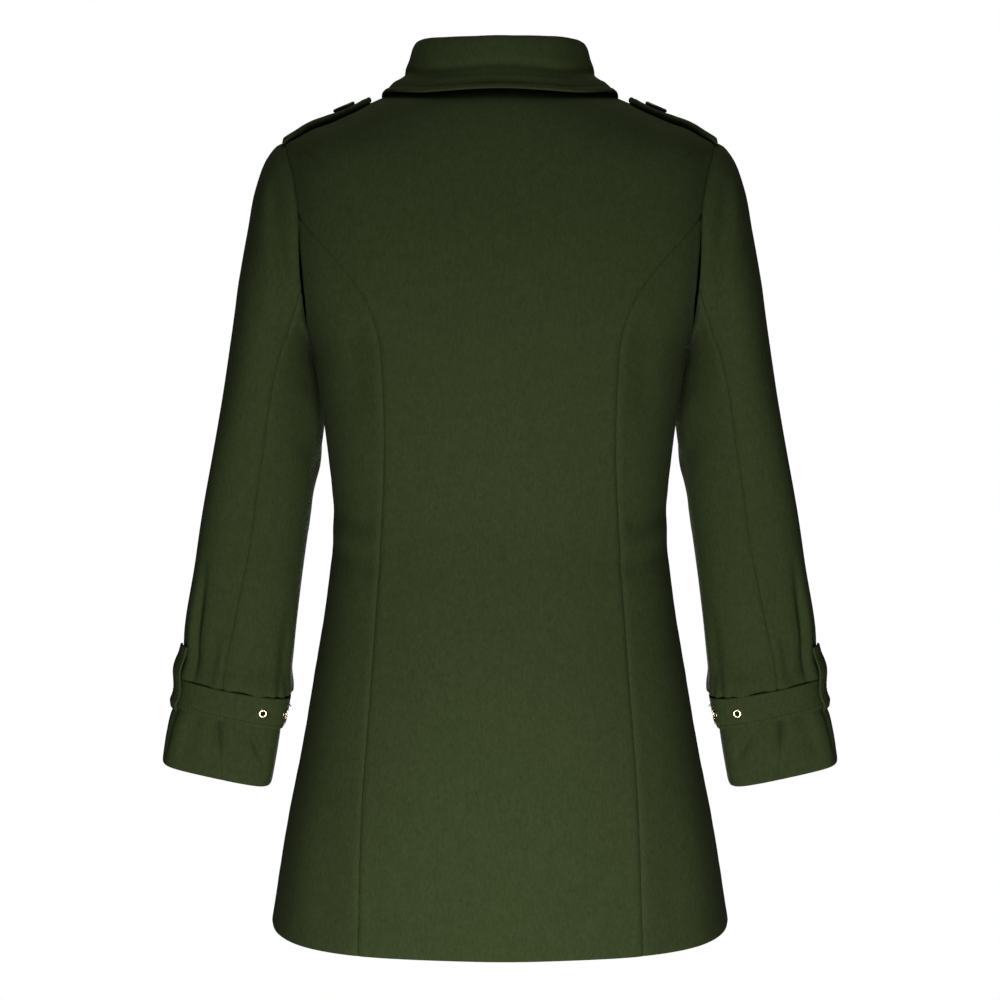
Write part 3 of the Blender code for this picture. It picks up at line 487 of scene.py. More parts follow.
SHOULDER_END_X = 0.184
SHOULDER_END_HOLLOW = 0.0032
ARMHOLE_HOLLOW = 0.0020


def tip_hollow(x, z):
    """How far the shoulder's end lies in, which keeps its line straight to the armhole."""
    at_end = np.exp(-(((x - SHOULDER_END_X) / 0.012) ** 2))
    return SHOULDER_END_HOLLOW * at_end * (1 - smooth_step(-z, 0.05, 0.14))


def armhole_hollow(x, down):
    """How far a panel lies in beside the armhole, where the sleeve's seam draws it."""
    table = np.array(ARMHOLE)
    share = (down - TIP) / (PIT - TIP)
    to_armhole = spline_weights(table[:, 0], share) @ table[:, 1] - x
    level = smooth_step(share, 0.15, 0.40) * (1 - smooth_step(share, 0.80, 1.0))
    return ARMHOLE_HOLLOW * level * np.exp(-((to_armhole / 0.010) ** 2))


def body_panel(low, high, shares, rows, relief, sewn_edges, seed):
    """Outer and inner faces of a body panel between two angles, given for each row, and the
    distances from its edges. sewn_edges says which of its left and right edges are sewn."""
    angle = between(low, high, shares)
    down = np.broadcast_to(rows[:, None], angle.shape)
    plain = body(angle, down)
    normal = normals(body, angle, np.maximum(down, 3e-5))
    top, bottom, left, right = edge_distances(plain)
    soft = relief(plain) + drape_relief(plain) * smooth_step(top, 0.0, 0.05)
    sewn = -0.0007 * np.exp(-((bottom / 0.0016) ** 1.5))
    seams = [d for d, is_sewn in zip((left, right), sewn_edges) if is_sewn]
    shallow = 0.0005 + 0.0007 * smooth_step(-plain[..., 2], 0.11, 0.20)
    for distance in seams:
        sewn = sewn + seam_relief(distance, top, seed, shallow)
    x, z = np.abs(plain[..., 0]), plain[..., 2]
    soft = soft - armhole_hollow(x, down) - tip_hollow(x, z)
    outer = plain + normal * (soft + sewn)[..., None]
    return outer, inside(outer, normal, sewn, seams, bottom)


def back_relief(points):
    return crease_relief(np.abs(points) * (1, 1, -1), BACK_CREASES)


def back_edge(rows, front=False):
    """Angle of a panel's outer edge: shoulder seam, then armhole, then side seam."""
    return np.where((rows > TIP) & (rows < PIT), armhole_angle(rows, front), 0.0)


edge = back_edge(BODY_ROWS)
seam = princess_angle(BODY_ROWS[PRINCESS_ROW:])
edge[PRINCESS_ROW:] = np.maximum(seam, edge[PRINCESS_ROW:])
outer, inner = body_panel(
    edge, math.pi - edge, spread(56, 0.24), BODY_ROWS, back_relief, (True, True), 1.0
)
back_centre = shell("back_centre_panel", outer, inner, wool, (0, HEM_ROLL, 0, 0))
cloth_piece(back_centre, "back_centre")


# The side backs. Each runs from the armhole to the hem between the princess seam and the side
# seam. The seam allowances are pressed open inside, which lifts the cloth beside each seam.

rows = BODY_ROWS[PRINCESS_ROW:]
edge = back_edge(rows)
seam = np.maximum(princess_angle(rows), edge + 0.004)
outer, inner = body_panel(edge, seam, spread(20, 0.10), rows, back_relief, (True, True), 2.0)
for side, mirror in (("left", False), ("right", True)):
    panel = shell(f"side_back_{side}", outer, inner, wool, (0, HEM_ROLL, 0, 0), mirror)
    cloth_piece(panel, f"back_side_{side}")


# The fronts. The right front laps over the left, as on a woman's coat, and buttons to it. Each
# front edge is turned, pressed and topstitched 6 mm in. The photograph doesn't show them, so
# they are plain.

FRONT_EDGE = 0.026
UNDERLAP_EDGE = -0.022
UNDERLAP_START = 0.058
UNDERLAP_DEPTH = CLOTH + 0.0014
TOPSTITCH_IN = 0.006
FRONT_CREASES = (
    Crease(0.060, -0.235, 0.150, -0.330, 0.006, 0.0130, -0.0012),
    Crease(0.052, -0.262, 0.140, -0.372, 0.005, 0.0120, 0.0011),
    Crease(0.155, -0.375, 0.095, -0.392, -0.004, 0.0090, -0.0015),
    Crease(0.150, -0.402, 0.088, -0.412, -0.003, 0.0090, 0.0010),
    Crease(0.152, -0.424, 0.092, -0.440, 0.003, 0.0100, -0.0013),
    Crease(0.172, -0.215, 0.120, -0.180, 0.005, 0.0110, -0.0013),
    Crease(0.168, -0.240, 0.110, -0.215, 0.004, 0.0110, 0.0010),
    Crease(0.120, -0.520, 0.132, -0.778, 0.000, 0.0190, 0.0015),
    Crease(0.078, -0.560, 0.084, -0.778, 0.000, 0.0190, -0.0013),
    Crease(0.168, -0.560, 0.184, -0.778, 0.000, 0.0160, -0.0014),
)


def topstitched(distance, at=TOPSTITCH_IN):
    """The furrow that a row of stitching pulls in, with the cloth swelling on both sides."""
    furrow = -0.00055 * np.exp(-(((distance - at) / 0.0008) ** 2))
    before = 0.00028 * np.exp(-(((distance - at * 0.5) / (at * 0.4)) ** 2))
    after = 0.00022 * np.exp(-(((distance - at - 0.0028) / 0.0022) ** 2))
    return furrow + before + after


def make_front(side, meeting_x, steps_in, seed):
    meeting = angle_at_x(meeting_x, BODY_ROWS, front=True)
    edge = -back_edge(BODY_ROWS, front=True)

    def relief(points):
        sink = UNDERLAP_DEPTH * (1 - smooth_step(points[..., 0], FRONT_EDGE + 0.002, UNDERLAP_START))
        return crease_relief(points, FRONT_CREASES) - sink * steps_in

    outer, inner = body_panel(
        meeting, edge, spread(50, 0.22), BODY_ROWS, relief, (False, True), seed
    )
    outward = unit(outer - inner)
    outer = outer + outward * topstitched(edge_distances(outer)[2])[..., None]
    bulges = (0, HEM_ROLL, HEM_ROLL, 0)
    return shell(f"front_panel_{side}", outer, inner, wool, bulges, side == "right"), outer, outward


# front_face and front_out are left as the right front's, before it is mirrored, for its stitches.
for side, meeting_x, steps_in, seed in (
    ("left", UNDERLAP_EDGE + HEM_ROLL, 1.0, 3.0),
    ("right", -FRONT_EDGE + HEM_ROLL, 0.0, 4.0),
):
    panel, front_face, front_out = make_front(side, meeting_x, steps_in, seed)
    cloth_piece(panel, f"front_{side}")


# The sleeves. Each is cut in two pieces, a top sleeve and an under sleeve, joined by a seam
# down the back of the arm and one at the front. The head is eased into the armhole. The cloth
# blouses over the strap that draws in the cuff.

SLEEVE_RADIUS = 0.045
STRAP_CENTRE = 0.0700
STRAP_WIDTH = 0.029
STRAP_PINCH = 0.0012

# Rings of the left sleeve below the armhole: the outer and inner points of the ring, its depth
# towards the back and the front, and how far forward its inner point lies, as the arm does.
Ring = namedtuple("Ring", "out_x out_z in_x in_z back_y front_y square forward")
SLEEVE = (
    Ring(0.2090, -0.0640, 0.1753, -0.2245, 0.0640, 0.0700, 0.04, 0.000),
    Ring(0.2215, -0.0920, 0.1758, -0.2280, 0.0650, 0.0780, 0.05, 0.004),
    Ring(0.2300, -0.1320, 0.1752, -0.2350, 0.0640, 0.0860, 0.05, 0.014),
    Ring(0.2380, -0.1780, 0.1722, -0.2470, 0.0610, 0.0910, 0.05, 0.028),
    Ring(0.2445, -0.2250, 0.1670, -0.2680, 0.0560, 0.0910, 0.05, 0.040),
    Ring(0.2520, -0.2720, 0.1630, -0.3000, 0.0490, 0.0860, 0.05, 0.044),
    Ring(0.2600, -0.3160, 0.1655, -0.3350, 0.0430, 0.0760, 0.06, 0.040),
    Ring(0.2680, -0.3620, 0.1722, -0.3780, 0.0370, 0.0670, 0.08, 0.030),
    Ring(0.2803, -0.4320, 0.1824, -0.4500, 0.0340, 0.0620, 0.10, 0.018),
    Ring(0.2922, -0.5000, 0.1911, -0.5180, 0.0310, 0.0580, 0.12, 0.008),
    Ring(0.2935, -0.5330, 0.1957, -0.5520, 0.0300, 0.0560, 0.14, 0.004),
    Ring(0.2972, -0.5620, 0.2012, -0.5830, 0.0280, 0.0530, 0.16, 0.000),
    Ring(0.3045, -0.5760, 0.2045, -0.5980, 0.0280, 0.0525, 0.18, 0.000),
    Ring(0.3100, -0.5960, 0.2080, -0.6180, 0.0280, 0.0520, 0.22, 0.000),
    Ring(0.3150, -0.6250, 0.2135, -0.6470, 0.0280, 0.0520, 0.26, 0.000),
)

# The sleeve's two seams, as angles round it from the outer side, by distance down the sleeve.
SleeveSeam = namedtuple("SleeveSeam", "down back front")
SLEEVE_SEAMS = (
    SleeveSeam(0.000, 121, -120),
    SleeveSeam(0.015, 129, -121),
    SleeveSeam(0.033, 127, -122),
    SleeveSeam(0.056, 121, -122),
    SleeveSeam(0.075, 115, -122),
    SleeveSeam(0.094, 106, -122),
    SleeveSeam(0.112, 99, -122),
    SleeveSeam(0.138, 92, -122),
    SleeveSeam(0.200, 89, -120),
    SleeveSeam(0.290, 89, -117),
    SleeveSeam(0.335, 87, -116),
    SleeveSeam(0.370, 85, -115),
    SleeveSeam(0.410, 81, -113),
    SleeveSeam(0.451, 83, -112),
    SleeveSeam(0.480, 91, -112),
    SleeveSeam(0.510, 97, -112),
)

# Creases of the sleeve: metres up from the cuff's hem and angle at each end, half width in
# metres, and depth, which is negative in a trough.
SleeveCrease = namedtuple("SleeveCrease", "up angle end_up end_angle half_width depth")
SLEEVE_CREASES = (
    SleeveCrease(0.086, 48, 0.205, 41, 0.0056, -0.0058),
    SleeveCrease(0.086, 57, 0.170, 56, 0.0060, 0.0012),
    SleeveCrease(0.086, 68, 0.150, 70, 0.0045, -0.0020),
    SleeveCrease(0.086, 76, 0.140, 79, 0.0034, 0.0022),
    SleeveCrease(0.086, 104, 0.150, 108, 0.0065, 0.0010),
    SleeveCrease(0.086, 152, 0.180, 148, 0.0110, -0.0038),
    SleeveCrease(0.086, 20, 0.150, 18, 0.0050, -0.0022),
    SleeveCrease(0.086, -40, 0.190, -28, 0.0070, -0.0034),
    SleeveCrease(0.086, -75, 0.170, -70, 0.0060, 0.0016),
    SleeveCrease(0.086, -110, 0.165, -104, 0.0070, -0.0028),
    SleeveCrease(0.086, 196, 0.150, 190, 0.0070, 0.0008),
    SleeveCrease(0.057, 108, 0.020, 140, 0.0044, -0.0046),
    SleeveCrease(0.057, 84, 0.026, 91, 0.0034, -0.0040),
    SleeveCrease(0.056, 62, 0.006, 60, 0.0048, -0.0044),
    SleeveCrease(0.054, 28, -0.004, 22, 0.0060, -0.0018),
    SleeveCrease(0.056, -55, -0.004, -48, 0.0060, -0.0022),
    SleeveCrease(0.056, -84, 0.020, -92, 0.0042, -0.0018),
    SleeveCrease(0.054, -128, -0.004, -134, 0.0060, -0.0022),
    SleeveCrease(0.290, 168, 0.345, 110, 0.0110, -0.0020),
    SleeveCrease(0.320, 176, 0.385, 120, 0.0110, 0.0012),
    SleeveCrease(0.260, -178, 0.300, -110, 0.0110, -0.0022),
    SleeveCrease(0.290, 178, 0.335, -105, 0.0110, 0.0012),
    SleeveCrease(0.320, 176, 0.375, -112, 0.0110, -0.0019),
    SleeveCrease(0.235, -170, 0.255, -100, 0.0100, 0.0011),
    SleeveCrease(0.520, -60, 0.430, -96, 0.0110, -0.0014),
    SleeveCrease(0.420, 20, 0.330, 28, 0.0160, -0.0008),
)

SLEEVE_TABLE = np.array(SLEEVE)
SLEEVE_CENTRES = np.vstack(
    [[0.1853, -0.1368], (SLEEVE_TABLE[:, 0:2] + SLEEVE_TABLE[:, 2:4]) / 2]
)
SLEEVE_DOWN = distances_down(SLEEVE_CENTRES)
CUFF = SLEEVE_DOWN[-1]


def armhole_point(angle):
    """Point of the left armhole: angle 0 at the shoulder tip, a quarter turn at the back."""
    turn = np.arctan2(np.sin(angle), np.cos(angle))
    down = armhole_down(np.abs(turn) * ARMHOLE_STEPS / math.pi)
    back, front = armhole_angle(down), -armhole_angle(down, front=True)
    return body(np.where(turn > 0, back, front), down)


def sleeve_ring(row, angle):
    """Point of one ring of the sleeve: angle 0 on the outer side, a quarter turn at the back."""
    sin, cos = np.sin(angle), np.cos(angle)
    across = cos * (1 + row.square * sin**2)
    depth = np.where(sin > 0, row.back_y, row.front_y)
    x = (row.out_x + row.in_x) / 2 + (row.out_x - row.in_x) / 2 * across
    z = (row.out_z + row.in_z) / 2 + (row.out_z - row.in_z) / 2 * across
    y = depth * sin * (1 + row.square * cos**2) - row.forward * ((1 - cos) / 2) ** 2
    return np.stack([x, y, z], axis=-1)


def plain_sleeve(angle, down):
    angle, down = np.broadcast_arrays(np.asarray(angle, float), np.asarray(down, float))
    weights = spline_weights(SLEEVE_DOWN, down)
    rings = [armhole_point(angle)] + [sleeve_ring(row, angle) for row in SLEEVE]
    return sum(weights[..., k, None] * ring for k, ring in enumerate(rings))


def sleeve_crease_relief(angle, up):
    relief = np.zeros(angle.shape)
    for crease in SLEEVE_CREASES:
        start = math.radians(crease.angle)
        turn = math.radians((crease.end_angle - crease.angle + 180) % 360 - 180)
        run = np.array([turn * SLEEVE_RADIUS, crease.end_up - crease.up])
        long = np.linalg.norm(run)
        ahead = run / long
        apart = np.arctan2(np.sin(angle - start - turn / 2), np.cos(angle - start - turn / 2))
        x = (apart + turn / 2) * SLEEVE_RADIUS
        y = up - crease.up
        along = (x * ahead[0] + y * ahead[1]) / long
        aside = x * -ahead[1] + y * ahead[0]
        ends = smooth_step(along, -0.10, 0.12) * (1 - smooth_step(along, 0.45, 1.08))
        relief += crease.depth * np.exp(-((aside / crease.half_width) ** 2)) * ends
    return relief


# The fold that the cloth makes over the strap: its height up from the hem, how far it stands out
# and how far it slumps down.
BLOUSE_UP = 0.0915
BLOUSE_OUT = 0.0034
SLUMP_UP = 0.0910
SLUMP = 0.0034


def blouse(angle, up):
    """How far the cloth stands out above the strap, and how far it slumps down over it."""
    wave = 1.15 + 0.18 * np.sin(3 * angle + 0.8) + 0.30 * np.sin(9 * angle + 2.0)
    wave = wave + 0.28 * np.sin(17 * angle + 0.9 * np.sin(5 * angle))
    half_height = np.where(up > BLOUSE_UP, 0.0105, 0.0042)
    out = BLOUSE_OUT * wave * np.exp(-(((up - BLOUSE_UP) / half_height) ** 2))
    slump = SLUMP * wave * np.exp(-(((up - SLUMP_UP) / 0.0075) ** 2))
    return out, slump


SLEEVE_ROWS = np.concatenate(
    [
        np.array([0.0, 0.0006, 0.0014, 0.0026, 0.0044, 0.0068, 0.0098]),
        np.linspace(0.0135, CUFF - 0.125, 84)[:-1],
        CUFF - np.linspace(0.125, 0.078, 34)[:-1],
        CUFF - np.linspace(0.078, 0.010, 34)[:-1],
        CUFF - HEM_ROLL - np.array([0.0080, 0.0055, 0.0034, 0.0018, 0.0007, 0.0]),
    ]
)


def sleeve_normals(angle, down, lowered, turn):
    """Outward normals, which at the sleeve's head are those of the body that it is sewn to."""
    normal = normals(plain_sleeve, angle, np.clip(lowered, 1e-4, CUFF - 3e-5))
    level = armhole_down(np.abs(turn) * ARMHOLE_STEPS / math.pi)
    back, front = armhole_angle(level), -armhole_angle(level, front=True)
    of_body = normals(body, np.where(turn > 0, back, front), level)
    like_body = 1 - smooth_step(np.abs(turn), math.radians(60), math.radians(120))
    near = like_body[None, :, None] * np.exp(-((down / 0.004) ** 2))[..., None]
    return unit(of_body[None] * near + normal * (1 - near))


# How far the sleeve lies in beside the armhole and at the shoulder's end, and how full it is at
# its inner front, where it presses against the side.
SLEEVE_HOLLOW = 0.0058
SLEEVE_TIP_HOLLOW = 0.0014
SLEEVE_FULLNESS = 0.0080


def sleeve_hang(plain, angle, turn, down, top, soft):
    """Adds the slack of the hanging cloth to its creases, and its hollows near the armhole."""
    x, y, z = np.moveaxis(plain, -1, 0)
    waves = np.sin(z / 0.034 + 2 * np.sin(x / 0.03 + y / 0.045))
    waves = waves + 0.6 * np.sin(y / 0.019 + z / 0.07)
    soft = soft + 0.00055 * waves * smooth_step(top, 0.01, 0.06)
    beside = np.exp(-(((np.abs(np.degrees(turn)) - 72) / 30) ** 4))
    soft = soft - SLEEVE_HOLLOW * beside * np.exp(-(((top - 0.024) / 0.013) ** 2))
    at_tip = np.exp(-((np.degrees(turn) / 50) ** 2))
    soft = soft - SLEEVE_TIP_HOLLOW * at_tip * np.exp(-((top / 0.007) ** 2))
    inner_front = np.exp(-(((np.degrees(angle) % 360 - 212) / 30) ** 2))
    return soft + SLEEVE_FULLNESS * inner_front * np.exp(-(((down - 0.055) / 0.027) ** 2))


def sleeve_sewing(angle, top, bottom, left, right, seed):
    """Relief of the two long seams, of the head that is eased in, and of the turned hem."""
    sewn = seam_relief(left, top, seed) + seam_relief(right, top, seed)
    sewn = sewn * (0.35 + 0.65 * smooth_step(bottom, 0.018, 0.045))
    head = -0.0006 * np.exp(-((top / 0.0016) ** 1.4))
    head = head + 0.0009 * np.exp(-(((top - 0.0075) / 0.006) ** 2))
    puckers = 0.00035 * uneven(angle * 0.07, 2.0) * np.exp(-(((top - 0.006) / 0.007) ** 2))
    return sewn + head + puckers - 0.0006 * np.exp(-((bottom / 0.0016) ** 1.5))


def sleeve_panel(low, high, columns, width, seed):
    """Outer and inner faces of one piece of the sleeve, between its two seams."""
    angle = between(low, high, spread(columns, width))
    down = np.broadcast_to(SLEEVE_ROWS[:, None], angle.shape)
    up = CUFF - down
    out, slump = blouse(angle, up)
    lowered = np.minimum(down + slump, CUFF - HEM_ROLL)
    plain = plain_sleeve(angle, lowered)
    turn = np.arctan2(np.sin(angle[0]), np.cos(angle[0]))
    normal = sleeve_normals(angle, down, lowered, turn)
    top, bottom, left, right = edge_distances(plain)
    soft = out + sleeve_crease_relief(angle, up)
    soft = soft - STRAP_PINCH * np.exp(-(((up - STRAP_CENTRE) / (STRAP_WIDTH * 0.6)) ** 4))
    soft = sleeve_hang(plain, angle, turn, down, top, soft)
    sewn = sleeve_sewing(angle, top, bottom, left, right, seed)
    outer = plain + normal * (soft + sewn)[..., None]
    return outer, inside(outer, normal, sewn, [left, right], bottom)


seams = np.array(SLEEVE_SEAMS)
back, front = np.radians(spline_weights(seams[:, 0], SLEEVE_ROWS) @ seams[:, 1:]).T
top_sleeve = sleeve_panel(front, back, 66, 0.20, 5.0)
under_sleeve = sleeve_panel(back, front + 2 * math.pi, 48, 0.11, 6.0)
for side, mirror in (("left", False), ("right", True)):
    bulges = (0, HEM_ROLL, 0, 0)
    piece = shell(f"top_sleeve_{side}", *top_sleeve, wool, bulges, mirror)
    cloth_piece(piece, f"sleeve_top_{side}")
    piece = shell(f"under_sleeve_{side}", *under_sleeve, wool, bulges, mirror)
    cloth_piece(piece, f"sleeve_under_{side}")


# The collar. A tall stand and a fall, cut as one folded piece of the same melton. Its edge is
# turned, pressed and topstitched, and rolls outwards into a lip where it lies on the back.

# Stations of the collar round the neck, from the front end to the centre back. Each gives the
# top of the fold, then the fall's belly, lip and edge, as distance out from the neck seam and
# height. The slide moves the fall's edge round towards the shoulder, which makes the point.
COLLAR_CLOTH = 0.0024
Station = namedtuple(
    "Station", "angle fold_r fold_z belly_r belly_z lip_r lip_z edge_r edge_z slide"
)
COLLAR = (
    Station(-89, 0.0000, -0.0340, 0.0110, -0.0580, 0.0190, -0.0790, 0.0270, -0.1000, 0.050),
    Station(-45, 0.0000, 0.0060, 0.0100, -0.0140, 0.0190, -0.0310, 0.0340, -0.0450, 0.012),
    Station(0, 0.0000, 0.0338, 0.0085, 0.0160, 0.0175, 0.0005, 0.0318, -0.0096, 0.000),
    Station(45, -0.0005, 0.0412, 0.0065, 0.0180, 0.0115, 0.0035, 0.0215, -0.0055, 0.000),
    Station(90, -0.0005, 0.0436, 0.0048, 0.0190, 0.0070, 0.0060, 0.0145, -0.0016, 0.000),
)
FOLD_RADIUS = 0.0032
COLLAR_STITCH_IN = 0.0048


def collar(angle, step):
    """Point of the collar's middle layer: step 0 at the neck seam, 3 on the fold, 7 on the edge."""
    half = np.array(COLLAR)
    other = half[-2::-1].copy()
    other[:, 0] = 180 - other[:, 0]
    other[:, -1] *= -1
    stations = np.vstack([half, other])
    sizes = spline_weights(np.radians(stations[:, 0]), angle) @ stations
    _, fold_r, fold_z, belly_r, belly_z, lip_r, lip_z, edge_r, edge_z, slide = np.moveaxis(
        sizes, -1, 0
    )
    neck = body(angle, np.zeros_like(angle))
    ahead = body(angle + 1e-3, np.zeros_like(angle)) - neck
    ahead[..., 2] = 0
    ahead = unit(ahead)
    out = np.stack([ahead[..., 1], -ahead[..., 0], np.zeros_like(angle)], axis=-1)
    half = COLLAR_CLOTH / 2
    foot_z = neck[..., 2] + 0.0008
    top_z = fold_z - half
    zero = np.zeros_like(angle)
    profile = (
        (zero - half, foot_z, zero),
        (zero - half - 0.0015, (foot_z * 0.45 + top_z * 0.55), zero),
        (fold_r - FOLD_RADIUS, top_z - FOLD_RADIUS * 1.3, zero),
        (fold_r, top_z, zero),
        (fold_r + FOLD_RADIUS, top_z - FOLD_RADIUS * 1.3, slide * 0.02),
        (belly_r - half, belly_z, slide * 0.36),
        (lip_r - half, lip_z, slide * 0.68),
        (edge_r - half, edge_z, slide),
    )
    weights = spline_weights(np.arange(len(profile)), step)
    point = np.zeros(angle.shape + (3,))
    for k, (r, z, along) in enumerate(profile):
        place = neck + out * r[..., None] + ahead * along[..., None]
        place[..., 2] = z
        point = point + weights[..., k, None] * place
    return point


def body_at(x, y):
    """Angle and distance down of the shoulder's surface at x and y, for the wearer's left."""
    low, high = np.zeros(x.shape), np.full(x.shape, BODY_DOWN[4])
    for _ in range(30):
        down = (low + high) / 2
        sizes = spline_weights(BODY_DOWN, down) @ BODY_TABLE
        depth = np.where(y > 0, sizes[..., 2], sizes[..., 4])
        square = sizes[..., 6]
        angle = np.arcsin(np.clip(y / depth / (1 + square), -1, 1))
        for _ in range(5):
            angle = np.arcsin(np.clip(y / depth / (1 + square * np.cos(angle) ** 2), -1, 1))
        short = body(angle, down)[..., 0] < x
        low, high = np.where(short, down, low), np.where(short, high, down)
    return angle, (low + high) / 2


def resting_collar(angle, step):
    """The collar, with its fall kept clear of the shoulders and fronts it lies on."""
    point = collar(angle, step)
    side = np.sign(point[..., 0])
    across, down = body_at(np.abs(point[..., 0]), point[..., 1])
    surface, normal = body(across, down), normals(body, across, np.maximum(down, 1e-4))
    point[..., 0] *= side
    height = np.sum((point - surface) * normal, axis=-1)
    short = np.maximum(COLLAR_CLOTH / 2 + 0.0012 - height, 0)
    point = point + normal * (short * smooth_step(step, 3.6, 5))[..., None]
    point[..., 0] *= side
    return point


def grid_normals(grid):
    """Normals of a grid: across its rows' way down and its columns' way along."""
    return unit(np.cross(np.gradient(grid, axis=0), np.gradient(grid, axis=1)))


EDGE_STEPS = 7 - np.array([0.42, 0.34, 0.27, 0.21, 0.15, 0.10, 0.06, 0.03, 0.0])
collar_steps = np.concatenate([np.linspace(0, 6.5, 66)[:-1], EDGE_STEPS])
ends = np.radians([COLLAR[0].angle + 0.6, 180 - COLLAR[0].angle - 0.6])
collar_angles = ends[0] + (ends[1] - ends[0]) * spread(120, 0.62)
step, angle = np.meshgrid(collar_steps, collar_angles, indexing="ij")
middle = resting_collar(angle, step)
outward = grid_normals(middle)
foot, lip_edge, first_end, last_end = edge_distances(middle)
roll = 0.0006 * np.sin(angle * 3.1 + 0.4) + 0.0004 * np.sin(angle * 7.3 + step) * (step > 3)
relief = topstitched(lip_edge, COLLAR_STITCH_IN) * 1.5 * smooth_step(step, 4, 5)
relief = relief + topstitched(first_end, COLLAR_STITCH_IN) * smooth_step(step, 4, 5)
relief = relief + topstitched(last_end, COLLAR_STITCH_IN) * smooth_step(step, 4, 5)
relief = relief + 0.00022 * uneven(angle * 0.11, 1.0) * np.exp(-lip_edge / 0.006)
# The lip: a ridge beside the stitching, and the trough above it where the fall turns out.
lip = 0.0013 * np.exp(-(((lip_edge - 0.0118) / 0.0034) ** 2))
lip = lip - 0.0024 * np.exp(-(((lip_edge - 0.0235) / 0.0048) ** 2))
roll = roll * smooth_step(lip_edge, 0.0, 0.02) * smooth_step(foot, 0, 0.02)
roll = roll + lip * smooth_step(step, 3.8, 5.0)
middle = middle + outward * roll[..., None]
over = middle + outward * (COLLAR_CLOTH / 2 + relief)[..., None]
under = middle - outward * (COLLAR_CLOTH / 2)
piece = shell("collar_and_stand", over, under, wool, (0, 0.0013, 0.0012, 0.0012))
cloth_piece(piece, "collar")
collar_face, collar_out = over, outward


# The topstitching thread. Polyester, dyed to match and a shade paler. It lies in its furrow in
# stitches 3 mm long with a hair's gap between them.


def make_thread():
    made, tree, shader = new_material("olive_thread", (0.022, 0.030, 0.010), 0.8)
    shader.inputs["Specular IOR Level"].default_value = 0.1
    place = add(tree, "TexCoord").outputs["Object"]
    twist = add(tree, "TexNoise", {"Scale": 2600.0, "Detail": 2.0}, {"Vector": place})
    colour = tones(tree, twist.outputs["Fac"], (0.0150, 0.0215, 0.0065), (0.0260, 0.0350, 0.0130))
    tree.links.new(colour, shader.inputs["Base Color"])
    bump = add(tree, "Bump", {"Strength": 0.4, "Distance": 0.0002}, {"Height": twist.outputs["Fac"]})
    tree.links.new(bump.outputs["Normal"], shader.inputs["Normal"])
    return made


thread = make_thread()
STITCH = 0.0031
STITCH_GAP = 0.0008
THREAD_RADIUS = 0.00026


def row_at(grid, distance, at):
    """Points along a grid's columns where the distance from an edge first reaches a value."""
    found = []
    for c in range(grid.shape[1]):
        order = np.argsort(distance[:, c])
        found.append([np.interp(at, distance[order, c], grid[order, c, k]) for k in range(3)])
    return np.array(found)


def resampled(line, out, step):
    """A line and the ways out from it, at even steps."""
    run = distances_down(line)
    at = np.arange(0, run[-1], step)
    points = np.stack([np.interp(at, run, line[:, k]) for k in range(3)], axis=1)
    ways = unit(np.stack([np.interp(at, run, out[:, k]) for k in range(3)], axis=1))
    return points, ways


def stitch_mesh(runs, radius=THREAD_RADIUS, length=STITCH, gap=STITCH_GAP):
    """Points and faces of stitches along lines: each a small rounded bar that dips at its ends."""
    points, faces = [], []
    shares = np.array([0.0, 0.10, 0.30, 0.70, 0.90, 1.0])
    fat = np.array([0.25, 0.75, 1.0, 1.0, 0.75, 0.25])
    rise = np.array([-0.9, -0.1, 0.45, 0.45, -0.1, -0.9])
    turns = np.arange(6) * math.pi / 3
    for line, out in runs:
        places, ways = resampled(line, out, length + gap)
        for i in range(len(places) - 1):
            start, end, way = places[i], places[i + 1], ways[i]
            ahead = (end - start) * length / (length + gap)
            side = unit(np.cross(ahead, way))
            first = len(points)
            for share, wide, lift in zip(shares, fat, rise):
                centre = start + ahead * share + way * lift * radius
                for turn in turns:
                    around = side * math.cos(turn) + way * math.sin(turn)
                    points.append(centre + around * radius * wide)
            for k in range(5):
                for j in range(6):
                    a, b = first + k * 6 + j, first + k * 6 + (j + 1) % 6
                    faces.append((a, b, b + 6, a + 6))
            faces.append(tuple(first + j for j in range(5, -1, -1)))
            faces.append(tuple(first + 30 + j for j in range(6)))
    return points, faces


def stitching(name, runs, mirror=False, surface=thread, **sizes):
    points, faces = stitch_mesh(runs, **sizes)
    points = np.array(points)
    if mirror:
        points = points * (-1, 1, 1)
        faces = [face[::-1] for face in faces]
    mesh = bpy.data.meshes.new(name)
    mesh.from_pydata(points.tolist(), [], faces)
    mesh.materials.append(surface)
    mesh.shade_smooth()
    obj = bpy.data.objects.new(name, mesh)
    bpy.context.scene.collection.objects.link(obj)
    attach(obj, "root")
    return obj


line = row_at(collar_face, lip_edge, COLLAR_STITCH_IN)
ways = row_at(collar_out, lip_edge, COLLAR_STITCH_IN)
stitching("collar_topstitching", [(line[8:-8], ways[8:-8])])

across_rows = edge_distances(front_face)[2].T
line = row_at(front_face.transpose(1, 0, 2), across_rows, TOPSTITCH_IN)
ways = row_at(front_out.transpose(1, 0, 2), across_rows, TOPSTITCH_IN)
stitching("front_edge_topstitching", [(line[14:-12], ways[14:-12])], mirror=True)


# The shoulder tabs. A pointed tab of two layers, turned, pressed and topstitched, sewn into the
# armhole seam on each shoulder and held down by a button near the neck.

TAB_OUTER_X = 0.1945
TAB_INNER_X = 0.1148
TAB_HALF_WIDTH = 0.0210
TAB_POINT = 0.015
TAB_CLOTH = 0.0050
TAB_SEWN_CLOTH = 0.0028
TAB_PADDING = 0.0004
TAB_LIFT = 0.0008
TAB_BUTTON_X = 0.1385
TAB_BUTTON_SINK = 0.0012
TAB_ROUND = 0.0021
TAB_STITCH_IN = 0.0050


